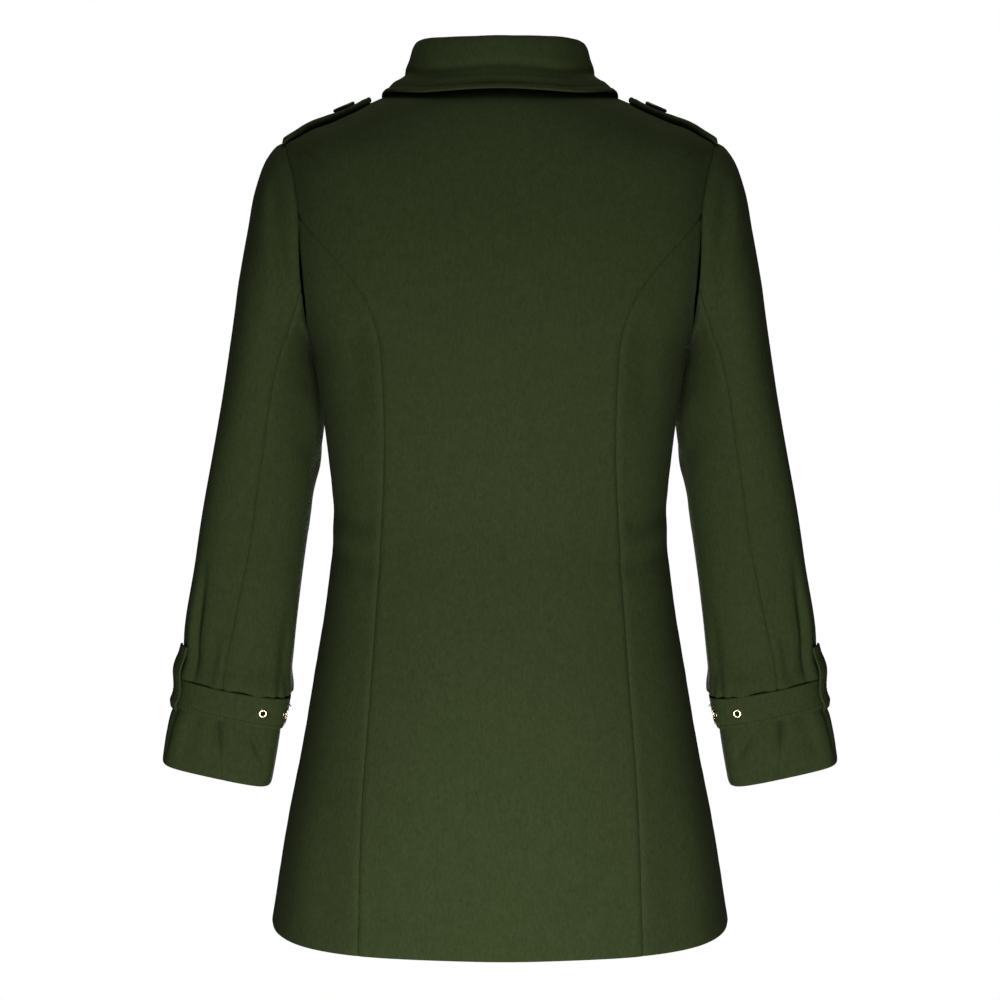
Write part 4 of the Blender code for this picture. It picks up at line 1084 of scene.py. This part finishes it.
def tab_surface(x, y):
    """Underside point and normal of the left shoulder tab, which lies along the shoulder with
    its front edge a hair higher than its back edge."""
    angle, down = body_at(x, y)
    normal = normals(body, angle, np.maximum(down, 1e-4))
    along = np.clip((TAB_OUTER_X - x) / (TAB_OUTER_X - TAB_INNER_X), 0, 1)
    forward = (TAB_HALF_WIDTH - y) / (2 * TAB_HALF_WIDTH)
    lift = 0.0004 + TAB_LIFT * forward * smooth_step(along, 0.0, 0.4)
    lift = lift - 0.9 * tip_hollow(x, np.full(x.shape, -0.05))
    return body(angle, down) + normal * lift[..., None], normal


shares = spread(34, TAB_OUTER_X - TAB_INNER_X, 0.0004)
x = TAB_INNER_X + TAB_ROUND + (TAB_OUTER_X - TAB_INNER_X - TAB_ROUND) * shares
rise = np.clip((x - TAB_INNER_X - TAB_ROUND) / TAB_POINT, 0, 1)
half_width = (TAB_HALF_WIDTH - TAB_ROUND) * (0.30 + 0.70 * np.sqrt(1 - (1 - rise) ** 2))
share = 2 * spread(22, 2 * TAB_HALF_WIDTH, 0.0004) - 1
y = half_width[:, None] * share
x = np.broadcast_to(x[:, None], y.shape)
under, normal = tab_surface(x, y)
sewn_end = smooth_step(x, TAB_OUTER_X - 0.018, TAB_OUTER_X)
thick = TAB_CLOTH + (TAB_SEWN_CLOTH - TAB_CLOTH) * sewn_end
thick = thick + TAB_PADDING * np.sin(math.pi * shares[:, None]) ** 2
from_point, _, from_left, from_right = edge_distances(under)
from_edge = np.minimum(np.minimum(from_left, from_right), from_point + 0.0006)
soft = topstitched(from_edge + TAB_ROUND, TAB_STITCH_IN) + 0.0003 * uneven(x * 0.2 + y * 0.1, 3.0)
seat = np.exp(-((((x - TAB_BUTTON_X) ** 2 + y**2) / 0.0118**2) ** 2))
over = under + normal * (thick + soft * (1 - seat) - TAB_BUTTON_SINK * seat)[..., None]
for side, mirror in (("left", False), ("right", True)):
    tab = shell(f"epaulette_{side}", over, under, wool, (TAB_ROUND, 0, TAB_ROUND, TAB_ROUND), mirror)
    cloth_piece(tab, f"shoulder_tab_{side}")
    runs = []
    for columns in (slice(None, None, -1), slice(None)):
        grid, away = over[:, columns], from_edge[:, columns] + TAB_ROUND
        half = grid.shape[1] // 2
        line = [
            [np.interp(TAB_STITCH_IN, away[r, :half], grid[r, :half, k]) for k in range(3)]
            for r in range(len(grid))
            if from_point[r, half] + TAB_ROUND > TAB_STITCH_IN * 0.98
        ]
        runs.append((np.array(line), np.broadcast_to(normal[5, half], (len(line), 3))))
    stitching(f"epaulette_stitching_{side}", runs, mirror)


# The cuff straps. A topstitched belt of two layers runs once round each cuff, through a buckle
# at the front of the wrist, and on over its own start. Brass eyelets are set along its tail.

STRAP_CLOTH = 0.0030
STRAP_START = math.radians(-118)
STRAP_TAIL = 0.050
STRAP_RADIUS = 0.043
STRAP_LENGTH_ANGLE = 2 * math.pi + STRAP_TAIL / STRAP_RADIUS
UNDER_STRAP = 0.0006
HEEL_BAR_ANGLE = 2 * math.pi - 0.115
HEEL_BUMP = 0.0012
STRAP_ROUND_EDGE = 0.0012
STRAP_STITCH_IN = 0.0042


def strap_frame(angle, up):
    """Point and axes on the left sleeve's plain surface: out, round the sleeve, and up it."""
    angle, up = np.broadcast_arrays(np.asarray(angle, float), np.asarray(up, float))
    down = CUFF - up
    turn, drop = 1e-3, 1e-4
    point = plain_sleeve(angle, down)
    along = unit(plain_sleeve(angle + turn, down) - plain_sleeve(angle - turn, down))
    fall = plain_sleeve(angle, np.minimum(down + drop, CUFF)) - plain_sleeve(angle, down - drop)
    out = unit(np.cross(fall, along))
    return point, out, along, np.cross(out, along)


def strap_rise(round_angle):
    """Height of the strap's underside over the sleeve: it climbs over its own start."""
    second_layer = STRAP_CLOTH + 0.0008
    climb = smooth_step(round_angle, HEEL_BAR_ANGLE - 0.70, HEEL_BAR_ANGLE)
    over_heel = np.exp(-(((round_angle - HEEL_BAR_ANGLE) / 0.13) ** 2))
    return UNDER_STRAP + second_layer * climb + HEEL_BUMP * over_heel


def strap_place(round_angle, across, height):
    """Point at a height over the strap's underside, across being up the sleeve from its middle."""
    point, out, _, _ = strap_frame(STRAP_START + round_angle, STRAP_CENTRE + across)
    return point + out * (strap_rise(round_angle) + height)[..., None]


def strap_top(round_angle):
    """Middle of the strap's outer face, the way it faces, and the way up the sleeve."""
    angles = np.array([round_angle - 0.05, round_angle, round_angle + 0.05])
    before, top, after = strap_place(angles, np.zeros(3), np.full(3, STRAP_CLOTH))
    _, _, _, up = strap_frame(STRAP_START + round_angle, STRAP_CENTRE)
    return top, unit(np.cross(after - before, up)), up


def applied(obj):
    """Makes an object's modifiers part of its mesh."""
    seen = obj.evaluated_get(bpy.context.evaluated_depsgraph_get())
    mesh = bpy.data.meshes.new_from_object(seen)
    obj.modifiers.clear()
    obj.data = mesh
    return obj


def drilled(obj, drills):
    """Cuts round holes: each drill is a matrix, a radius and a depth."""
    cutters = []
    for matrix, radius, depth in drills:
        mesh = bpy.data.meshes.new("drill")
        shape = bmesh.new()
        bmesh.ops.create_cone(
            shape, cap_ends=True, segments=24, radius1=radius, radius2=radius, depth=depth
        )
        shape.to_mesh(mesh)
        shape.free()
        cutter = bpy.data.objects.new("drill", mesh)
        bpy.context.scene.collection.objects.link(cutter)
        cutter.matrix_world = matrix
        cutters.append(cutter)
        cut = obj.modifiers.new("hole", "BOOLEAN")
        cut.operation = "DIFFERENCE"
        cut.object = cutter
    bpy.context.view_layer.update()
    applied(obj)
    for cutter in cutters:
        bpy.data.objects.remove(cutter)
    return obj


def facing(point, out, up):
    """A matrix at a point with its Z along out and its Y as near as can be to up."""
    z = Vector(out).normalized()
    x = Vector(up).cross(z).normalized()
    turn = Matrix((x, z.cross(x), z)).transposed().to_4x4()
    return Matrix.Translation(Vector(point)) @ turn


round_steps = np.concatenate(
    [
        np.array([0.0, 0.012, 0.03]),
        np.linspace(0.055, STRAP_LENGTH_ANGLE - 0.36, 150)[:-1],
        STRAP_LENGTH_ANGLE - 0.36 * np.linspace(1, 0, 26) ** 1.6,
    ]
)
to_tip = (STRAP_LENGTH_ANGLE - round_steps) * STRAP_RADIUS
taper = np.clip(to_tip / 0.012, 0, 1)
half_width = (STRAP_WIDTH / 2 - STRAP_ROUND_EDGE) * (0.45 + 0.55 * np.sqrt(1 - (1 - taper) ** 2))
share = 2 * spread(18, STRAP_WIDTH, 0.0004) - 1
across = half_width[:, None] * share
round_grid = np.broadcast_to(round_steps[:, None], across.shape)
under = strap_place(round_grid, across, np.zeros_like(across))
outward = grid_normals(under)
low_edge = across + half_width[:, None]
from_edge = np.minimum(low_edge, 2 * half_width[:, None] - low_edge)
from_edge = np.minimum(from_edge, to_tip[:, None]) + STRAP_ROUND_EDGE
soft = topstitched(from_edge, STRAP_STITCH_IN) * 0.3
soft = soft + 0.0002 * uneven(round_grid * STRAP_RADIUS * 0.6, 2.0)
# The lower edge is drawn in against the cuff, all along but for the tail.
tucked = 0.0016 * (1 - smooth_step(low_edge, 0.0, 0.0065))
tucked = tucked * smooth_step(to_tip[:, None], 0.030, 0.060)
over = under + outward * (STRAP_CLOTH + soft - tucked)[..., None]
EYELET_ANGLES = (math.radians(241), math.radians(279), HEEL_BAR_ANGLE - 0.170)
EYELET_HOLE = 0.0029
for side, sign in (("left", 1), ("right", -1)):
    mirror = np.array([sign, 1, 1])
    bulges = (STRAP_ROUND_EDGE,) * 4
    strap = shell(f"cuff_belt_{side}", over, under, wool, bulges, sign < 0)
    drills = []
    for angle in EYELET_ANGLES:
        top, out, up = strap_top(angle)
        place = facing((top - out * STRAP_CLOTH / 2) * mirror, out * mirror, up * mirror)
        drills.append((place, EYELET_HOLE, STRAP_CLOTH * 4))
    drilled(strap, drills)
    strap.data.shade_smooth()
    cloth_piece(strap, f"cuff_strap_{side}")
    runs = []
    for sign_across in (-1, 1):
        rows = round_steps < STRAP_LENGTH_ANGLE - 0.15
        inset = half_width[rows] + STRAP_ROUND_EDGE - STRAP_STITCH_IN
        line = strap_place(round_steps[rows], sign_across * inset, np.full(rows.sum(), STRAP_CLOTH))
        way = unit(line - strap_place(round_steps[rows], sign_across * inset, np.zeros(rows.sum())))
        runs.append((line - way * 0.0003, way))
    stitching(f"cuff_belt_stitching_{side}", runs, sign < 0, radius=0.00018)


# The strap carriers. A narrow folded loop stands down the outer side of each cuff, sewn at its
# top and bottom, and the strap runs through it.

LoopPoint = namedtuple("LoopPoint", "up height")
LOOP = (
    LoopPoint(0.1150, 0.0005),
    LoopPoint(0.1080, 0.0022),
    LoopPoint(0.1000, 0.0052),
    LoopPoint(0.0920, 0.0068),
    LoopPoint(0.0840, 0.0066),
    LoopPoint(0.0700, 0.0050),
    LoopPoint(0.0590, 0.0042),
    LoopPoint(0.0555, 0.0024),
    LoopPoint(0.0535, 0.0008),
)
LOOP_CLOTH = 0.0022
table = np.array(LOOP)
run = np.linspace(0, len(LOOP) - 1, 60)
up_and_height = spline_weights(np.arange(len(LOOP)), run) @ table
angles = 0.04 + 0.50 * spread(14, 0.022, 0.0004)
up, angle = np.meshgrid(up_and_height[:, 0], angles, indexing="ij")
point, out, _, _ = strap_frame(angle, up)
under = point + out * up_and_height[:, 1, None, None]
_, _, from_left, from_right = edge_distances(under)
soft = topstitched(np.minimum(from_left, from_right) + 0.001, 0.0032) * 0.8
over = under + out * (LOOP_CLOTH + soft)[..., None]
for side, mirror in (("left", False), ("right", True)):
    loop = shell(f"strap_carrier_{side}", over, under, wool, (0.001,) * 4, mirror)
    cloth_piece(loop, f"cuff_loop_{side}")
    runs = []
    for column in (3, -4):
        runs.append((over[3:-3, column], out[3:-3, column]))
    stitching(f"carrier_stitching_{side}", runs, mirror)


# The eyelets and buckles. Pale brass, lacquered. Each eyelet is a pressed ring set through the
# strap; each buckle is a bent wire frame with a prong that stands up through an eyelet.


def make_brass():
    made, tree, shader = new_material("pale_brass_lacquered", (0.86, 0.76, 0.52), 0.22, 1.0)
    shader.inputs["Coat Weight"].default_value = 0.3
    shader.inputs["Coat Roughness"].default_value = 0.12
    place = add(tree, "TexCoord").outputs["Object"]
    rubbed = add(tree, "TexNoise", {"Scale": 900.0, "Detail": 3.0}, {"Vector": place})
    colour = tones(tree, rubbed.outputs["Fac"], (0.74, 0.61, 0.36), (0.92, 0.83, 0.62))
    tree.links.new(colour, shader.inputs["Base Color"])
    rough = add(
        tree,
        "MapRange",
        {"From Min": 0.3, "From Max": 0.7, "To Min": 0.16, "To Max": 0.34},
        {"Value": rubbed.outputs["Fac"]},
    )
    tree.links.new(rough.outputs["Result"], shader.inputs["Roughness"])
    bump = add(
        tree, "Bump", {"Strength": 0.15, "Distance": 0.0001}, {"Height": rubbed.outputs["Fac"]}
    )
    tree.links.new(bump.outputs["Normal"], shader.inputs["Normal"])
    return made


brass = make_brass()

# The ring's section, as radius and height over the strap's face.
EYELET_PROFILE = (
    (0.0021, 0.0004),
    (0.0023, 0.0009),
    (0.0028, 0.0012),
    (0.0034, 0.0011),
    (0.0040, 0.0007),
    (0.0043, 0.0003),
    (0.0041, 0.0001),
    (0.0026, 0.0002),
    (0.0026, -0.0030),
    (0.0021, -0.0030),
)


def turned(name, profile, steps, surface):
    """A profile, as radius and height, turned round Z. It closes on itself or on the axis."""
    mesh = bpy.data.meshes.new(name)
    edges = [(i, i + 1) for i in range(len(profile) - 1)]
    if profile[0][0] > 0:
        edges.append((len(profile) - 1, 0))
    mesh.from_pydata([(r, 0, z) for r, z in profile], edges, [])
    obj = bpy.data.objects.new(name, mesh)
    bpy.context.scene.collection.objects.link(obj)
    screw = obj.modifiers.new("turn", "SCREW")
    screw.steps = steps
    screw.render_steps = steps
    screw.use_merge_vertices = True
    screw.merge_threshold = 0.00001
    applied(obj)
    obj.data.materials.append(surface)
    obj.data.shade_smooth()
    obj.data.set_sharp_from_angle(angle=math.radians(50))
    return obj


def set_in_place(obj, matrix, node):
    obj.data.transform(matrix)
    if matrix.determinant() < 0:
        obj.data.flip_normals()
    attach(obj, "root")
    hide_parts(node)
    return obj


BUCKLE_WIRE = 0.0022
PRONG_WIRE = 0.0016
BUCKLE_LENGTH = 0.020
BUCKLE_SPREAD = STRAP_WIDTH / 2 + 0.0030
CORNER = 0.0045
FRAME_CORNERS = ((0.0, -1), (0.0, 1), (BUCKLE_LENGTH, 1), (BUCKLE_LENGTH, -1))
# The prong: distance from the heel bar and height over the sleeve, up through the eyelet.
PRONG = (
    (-0.0026, 0.0030),
    (-0.0008, 0.0041),
    (0.0014, 0.0041),
    (0.0034, 0.0034),
    (0.0056, 0.0031),
    (0.0069, 0.0040),
    (0.0073, 0.0060),
    (0.0075, 0.0080),
    (0.0086, 0.0096),
    (0.0108, 0.0100),
    (0.0206, 0.0090),
)


def buckle_place(along, across, height):
    angle = STRAP_START + HEEL_BAR_ANGLE - along / STRAP_RADIUS
    point, out, _, _ = strap_frame(angle, STRAP_CENTRE + across)
    return point + out * height


def wire(name, points, radius, surface, cyclic=False):
    """A bent wire, as a curve of round section."""
    line = bpy.data.curves.new(name, "CURVE")
    line.dimensions = "3D"
    line.bevel_depth = radius
    line.bevel_resolution = 5
    line.use_fill_caps = True
    spline = line.splines.new("POLY")
    spline.points.add(len(points) - 1)
    for target, point in zip(spline.points, points):
        target.co = (*point, 1)
    spline.use_cyclic_u = cyclic
    spline.use_smooth = True
    line.materials.append(surface)
    obj = bpy.data.objects.new(name, line)
    bpy.context.scene.collection.objects.link(obj)
    return obj


half_wire = BUCKLE_WIRE / 2
low = half_wire + UNDER_STRAP
front_angle = HEEL_BAR_ANGLE - BUCKLE_LENGTH / STRAP_RADIUS
high = float(strap_rise(np.array(front_angle))) + STRAP_CLOTH + half_wire + 0.001
frame_points = []
for k, (along, end) in enumerate(FRAME_CORNERS):
    before, after = FRAME_CORNERS[k - 1], FRAME_CORNERS[(k + 1) % 4]
    corner = np.array([along, end * BUCKLE_SPREAD])
    to_before = unit(np.array([before[0], before[1] * BUCKLE_SPREAD]) - corner)
    to_after = unit(np.array([after[0], after[1] * BUCKLE_SPREAD]) - corner)
    for t in np.linspace(0, 1, 9):
        frame_points.append(
            corner + to_before * CORNER * (1 - t) ** 2 + to_after * CORNER * t**2
        )
prong_shares = np.linspace(0, len(PRONG) - 1, 70)
prong_line = spline_weights(np.arange(len(PRONG)), prong_shares) @ np.array(PRONG)
for side, sign in (("left", 1), ("right", -1)):
    mirror = np.array([sign, 1, 1])
    for letter, angle in zip("abc", EYELET_ANGLES):
        top, out, up = strap_top(angle)
        ring = turned(f"eyelet_ring_{side}_{letter}", EYELET_PROFILE, 40, brass)
        place = facing(top * mirror, out * mirror, up * mirror)
        set_in_place(ring, place, f"eyelet_{side}_{letter}")
    outline = [
        buckle_place(a, c, low + (high - low) * a / BUCKLE_LENGTH) * mirror for a, c in frame_points
    ]
    buckle = wire(f"buckle_frame_{side}", outline, half_wire, brass, cyclic=True)
    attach(buckle, "root")
    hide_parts(f"buckle_{side}")
    points = [buckle_place(a, 0.0, h) * mirror for a, h in prong_line]
    prong = wire(f"buckle_tongue_{side}", points, PRONG_WIRE / 2, brass)
    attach(prong, "root")
    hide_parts(f"buckle_prong_{side}")


# The buttons. Moulded polyester, near black with a faint horn-like swirl, polished, with a
# raised rim and four holes. They are sewn on with crossed stitches.


def make_horn():
    made, tree, shader = new_material("dark_polished_button", (0.010, 0.009, 0.007), 0.34)
    shader.inputs["Specular IOR Level"].default_value = 0.35
    shader.inputs["Coat Weight"].default_value = 0.15
    shader.inputs["Coat Roughness"].default_value = 0.22
    place = add(tree, "TexCoord").outputs["Object"]
    swirl = add(
        tree, "TexNoise", {"Scale": 160.0, "Detail": 3.0, "Distortion": 2.2}, {"Vector": place}
    )
    colour = tones(tree, swirl.outputs["Fac"], (0.0045, 0.0040, 0.0034), (0.020, 0.016, 0.011))
    tree.links.new(colour, shader.inputs["Base Color"])
    rough = add(
        tree,
        "MapRange",
        {"From Min": 0.3, "From Max": 0.7, "To Min": 0.28, "To Max": 0.42},
        {"Value": swirl.outputs["Fac"]},
    )
    tree.links.new(rough.outputs["Result"], shader.inputs["Roughness"])
    return made


horn = make_horn()
BUTTON_PROFILE = (
    (0.0000, 0.0017),
    (0.0030, 0.0017),
    (0.0056, 0.0018),
    (0.0068, 0.0022),
    (0.0075, 0.0029),
    (0.0082, 0.0033),
    (0.0090, 0.0034),
    (0.0098, 0.0031),
    (0.0103, 0.0026),
    (0.0105, 0.0020),
    (0.0104, 0.0012),
    (0.0099, 0.0004),
    (0.0092, 0.0000),
    (0.0000, 0.0000),
)
BUTTON_HOLE = 0.0010
BUTTON_HOLE_SPREAD = 0.0019
BUTTON_GAP = 0.0005
FRONT_BUTTONS = 6
FRONT_BUTTON_TOP = -0.092
FRONT_BUTTON_SPACING = 0.088


def make_button(name, node, point, out, up):
    """A four-hole button and the crossed thread that holds it."""
    place = facing(point + out * BUTTON_GAP, out, up)
    button = turned(name, BUTTON_PROFILE, 56, horn)
    spreads = (-BUTTON_HOLE_SPREAD, BUTTON_HOLE_SPREAD)
    holes = [(x, y) for x in spreads for y in spreads]
    drilled(button, [(Matrix.Translation((x, y, 0)), BUTTON_HOLE, 0.012) for x, y in holes])
    button.data.shade_smooth()
    button.data.set_sharp_from_angle(angle=math.radians(45))
    set_in_place(button, place, node)
    bars = []
    for (x0, y0), (x1, y1) in ((holes[0], holes[3]), (holes[1], holes[2])):
        for shift in (-0.00028, 0.00028):
            run = np.linspace(0, 1, 13)
            aside = np.array([-(y1 - y0), x1 - x0]) / math.hypot(x1 - x0, y1 - y0) * shift
            z = 0.0009 + 0.0014 * np.sin(np.pi * run) ** 0.5
            line = [
                (x0 + (x1 - x0) * t + aside[0], y0 + (y1 - y0) * t + aside[1], h)
                for t, h in zip(run, z)
            ]
            bars.append([tuple(place @ Vector(p)) for p in line])
    line = bpy.data.curves.new(name + "_thread", "CURVE")
    line.dimensions = "3D"
    line.bevel_depth = 0.00026
    line.bevel_resolution = 2
    for bar in bars:
        spline = line.splines.new("POLY")
        spline.points.add(len(bar) - 1)
        for target, p in zip(spline.points, bar):
            target.co = (*p, 1)
    line.materials.append(thread)
    cross = bpy.data.objects.new(name + "_thread", line)
    bpy.context.scene.collection.objects.link(cross)
    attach(cross, "root")
    return button


ring = np.array([[0.0, 0.0], [0.008, 0.0], [-0.008, 0.0], [0.0, 0.008], [0.0, -0.008]])
under, normal = tab_surface(TAB_BUTTON_X + ring[:, 0], ring[:, 1])
seats = under + normal * (TAB_CLOTH - TAB_BUTTON_SINK)
point, out = seats[0], unit(np.cross(seats[1] - seats[2], seats[3] - seats[4]))
for side, sign in (("left", 1), ("right", -1)):
    mirror = np.array([sign, 1, 1])
    name, node = f"epaulette_button_{side}", f"shoulder_button_{side}"
    make_button(name, node, point * mirror, out * mirror, (0, 1, 0))


def front_down(z):
    """Distance down at which the centre front's surface is at a height."""
    low, high = 0.0, HEM
    for _ in range(40):
        middle = (low + high) / 2
        above = body(np.array(-math.pi / 2), np.array(middle))[2] > z
        low, high = (middle, high) if above else (low, middle)
    return (low + high) / 2


for k in range(FRONT_BUTTONS):
    down = np.array(front_down(FRONT_BUTTON_TOP - FRONT_BUTTON_SPACING * k))
    angle = np.array(-math.pi / 2)
    point, out = body(angle, down), normals(body, angle, down)
    make_button(f"closing_button_{k + 1}", f"front_button_{k + 1}", point, out, (0, 0, 1))


# The buttonholes. Six, cut across the right front's edge and worked round in close stitches.
# Each reaches from the button's thread towards the wearer's right.

HOLE_START = -0.0030
HOLE_LENGTH = 0.0240
HOLE_SIDE = 0.0016


# Painted shade: each slit is a near-black sheet laid just over the cloth, standing for the shadow
# inside the cut.
def make_slit_shade():
    made, tree, shader = new_material("buttonhole_shadow", (0.0030, 0.0040, 0.0015), 0.95)
    place = add(tree, "TexCoord").outputs["Object"]
    raw = add(tree, "TexNoise", {"Scale": 1200.0, "Detail": 3.0}, {"Vector": place})
    colour = tones(tree, raw.outputs["Fac"], (0.0020, 0.0028, 0.0010), (0.0060, 0.0080, 0.0030))
    tree.links.new(colour, shader.inputs["Base Color"])
    return made


def on_front(x, level):
    """Point of the right front's face at a distance across it, in the row nearest a level."""
    row = int(np.argmin(np.abs(BODY_ROWS - level)))
    order = np.argsort(front_face[row, :, 0])
    xs = front_face[row, order, 0]
    point = np.array([np.interp(x, xs, front_face[row, order, k]) for k in range(3)])
    way = np.array([np.interp(x, xs, front_out[row, order, k]) for k in range(3)])
    return point, unit(way)


slit_shade_surface = make_slit_shade()
slit_shade_points, slit_shade_faces, runs = [], [], []
for k in range(FRONT_BUTTONS):
    level = front_down(FRONT_BUTTON_TOP - FRONT_BUTTON_SPACING * k)
    stations = np.linspace(0, 1, 36)
    first = len(slit_shade_points)
    for share in stations:
        point, way = on_front(HOLE_START + HOLE_LENGTH * share, level)
        half = 0.0005 * math.sin(math.pi * min(max(share, 0.02), 0.98)) ** 0.4
        lip = point + way * 0.00012
        slit_shade_points += [lip + (0, 0, half), lip - (0, 0, half)]
        for up in (1, -1):
            start = point + way * 0.0001 + np.array([0, 0, up * 0.0003])
            end = start + np.array([0, 0, up * (HOLE_SIDE + 0.0002)])
            runs.append((np.array([start, end]), np.array([way, way])))
    for i in range(len(stations) - 1):
        a = first + 2 * i
        slit_shade_faces.append((a, a + 1, a + 3, a + 2))
    for end_share, outwards in ((0.0, -1), (1.0, 1)):
        point, way = on_front(HOLE_START + HOLE_LENGTH * end_share, level)
        for turn in np.linspace(-70, 70, 7):
            cos, sin = math.cos(math.radians(turn)), math.sin(math.radians(turn))
            ahead = np.array([outwards * cos, 0, sin])
            start = point + way * 0.0001 + ahead * 0.0004
            end = start + ahead * (HOLE_SIDE + 0.0002)
            runs.append((np.array([start, end]), np.array([way, way])))
stitching("buttonhole_stitches", runs, mirror=True, radius=0.00024, length=HOLE_SIDE, gap=0.0001)
# The near-black sheets of painted shade that stand for the dark insides of the buttonhole cuts.
mesh = bpy.data.meshes.new("buttonhole_slit_shades")
mirrored = (np.array(slit_shade_points) * (-1, 1, 1)).tolist()
mesh.from_pydata(mirrored, [], slit_shade_faces)
mesh.materials.append(slit_shade_surface)
slit_shade_sheets = bpy.data.objects.new("buttonhole_slit_shades", mesh)
bpy.context.scene.collection.objects.link(slit_shade_sheets)
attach(slit_shade_sheets, "root")


# The studio. A plain white floor and surround, which only the camera sees, and a dim even light
# from all round. Two wide soft lights, behind and in front, stand low so that the hem is
# brighter, and a weaker one hangs overhead. The camera looks straight at the back.

FLOOR_Z = -1.4
FLOOR_REACH = 30
SURROUND_REACH = 9
LOOK_AT = (0, 0, -0.380)


def plain_white(name, points, faces):
    mesh = bpy.data.meshes.new(name)
    mesh.from_pydata(points, [], faces)
    obj = bpy.data.objects.new(name, mesh)
    bpy.context.scene.collection.objects.link(obj)
    made = bpy.data.materials.new(name)
    made.use_nodes = True
    made.node_tree.nodes.clear()
    glow = made.node_tree.nodes.new("ShaderNodeEmission")
    end = made.node_tree.nodes.new("ShaderNodeOutputMaterial")
    made.node_tree.links.new(glow.outputs["Emission"], end.inputs["Surface"])
    mesh.materials.append(made)
    for rays in ("diffuse", "glossy", "transmission", "volume_scatter", "shadow"):
        setattr(obj, f"visible_{rays}", False)
    return obj


turns = ((-1, -1), (1, -1), (1, 1), (-1, 1))
floor = [(x * FLOOR_REACH, y * FLOOR_REACH, FLOOR_Z) for x, y in turns]
plain_white("white_floor", floor, [(0, 1, 2, 3)])
reach = (-SURROUND_REACH, SURROUND_REACH)
corners = [(x, y, z) for z in reach for y in reach for x in reach]
sides = [(0, 1, 3, 2), (4, 6, 7, 5), (0, 4, 5, 1), (2, 3, 7, 6), (0, 2, 6, 4), (1, 5, 7, 3)]
plain_white("white_surround", corners, sides)

world = bpy.data.worlds.new("studio")
bpy.context.scene.world = world
world.use_nodes = True
even_light = world.node_tree.nodes["Background"]
even_light.inputs["Color"].default_value = (1, 1, 1, 1)
even_light.inputs["Strength"].default_value = 0.13
bpy.context.scene.view_settings.view_transform = "Standard"


def soft_light(name, place, aim, power, size):
    data = bpy.data.lights.new(name, "AREA")
    data.energy = power
    data.size = size
    lamp = bpy.data.objects.new(name, data)
    bpy.context.scene.collection.objects.link(lamp)
    lamp.location = place
    lamp.rotation_euler = (Vector(aim) - Vector(place)).to_track_quat("-Z", "Y").to_euler()
    return lamp


soft_light("back_light", (0, 1.15, -0.88), (0, 0, -0.50), 23.5, 0.7)
soft_light("top_light", (0, -0.05, 1.20), (0, 0, -0.10), 9, 0.8)
soft_light("front_light", (0, -1.25, -0.95), (0, 0, -0.50), 17, 0.7)

camera_data = bpy.data.cameras.new("camera")
camera_data.lens = 117.39
camera_data.sensor_width = 36
camera = bpy.data.objects.new("camera", camera_data)
bpy.context.scene.collection.objects.link(camera)
camera.location = (0, 2.9708, 0.0375)
camera.rotation_euler = (Vector(LOOK_AT) - camera.location).to_track_quat("-Z", "Y").to_euler()
bpy.context.scene.camera = camera
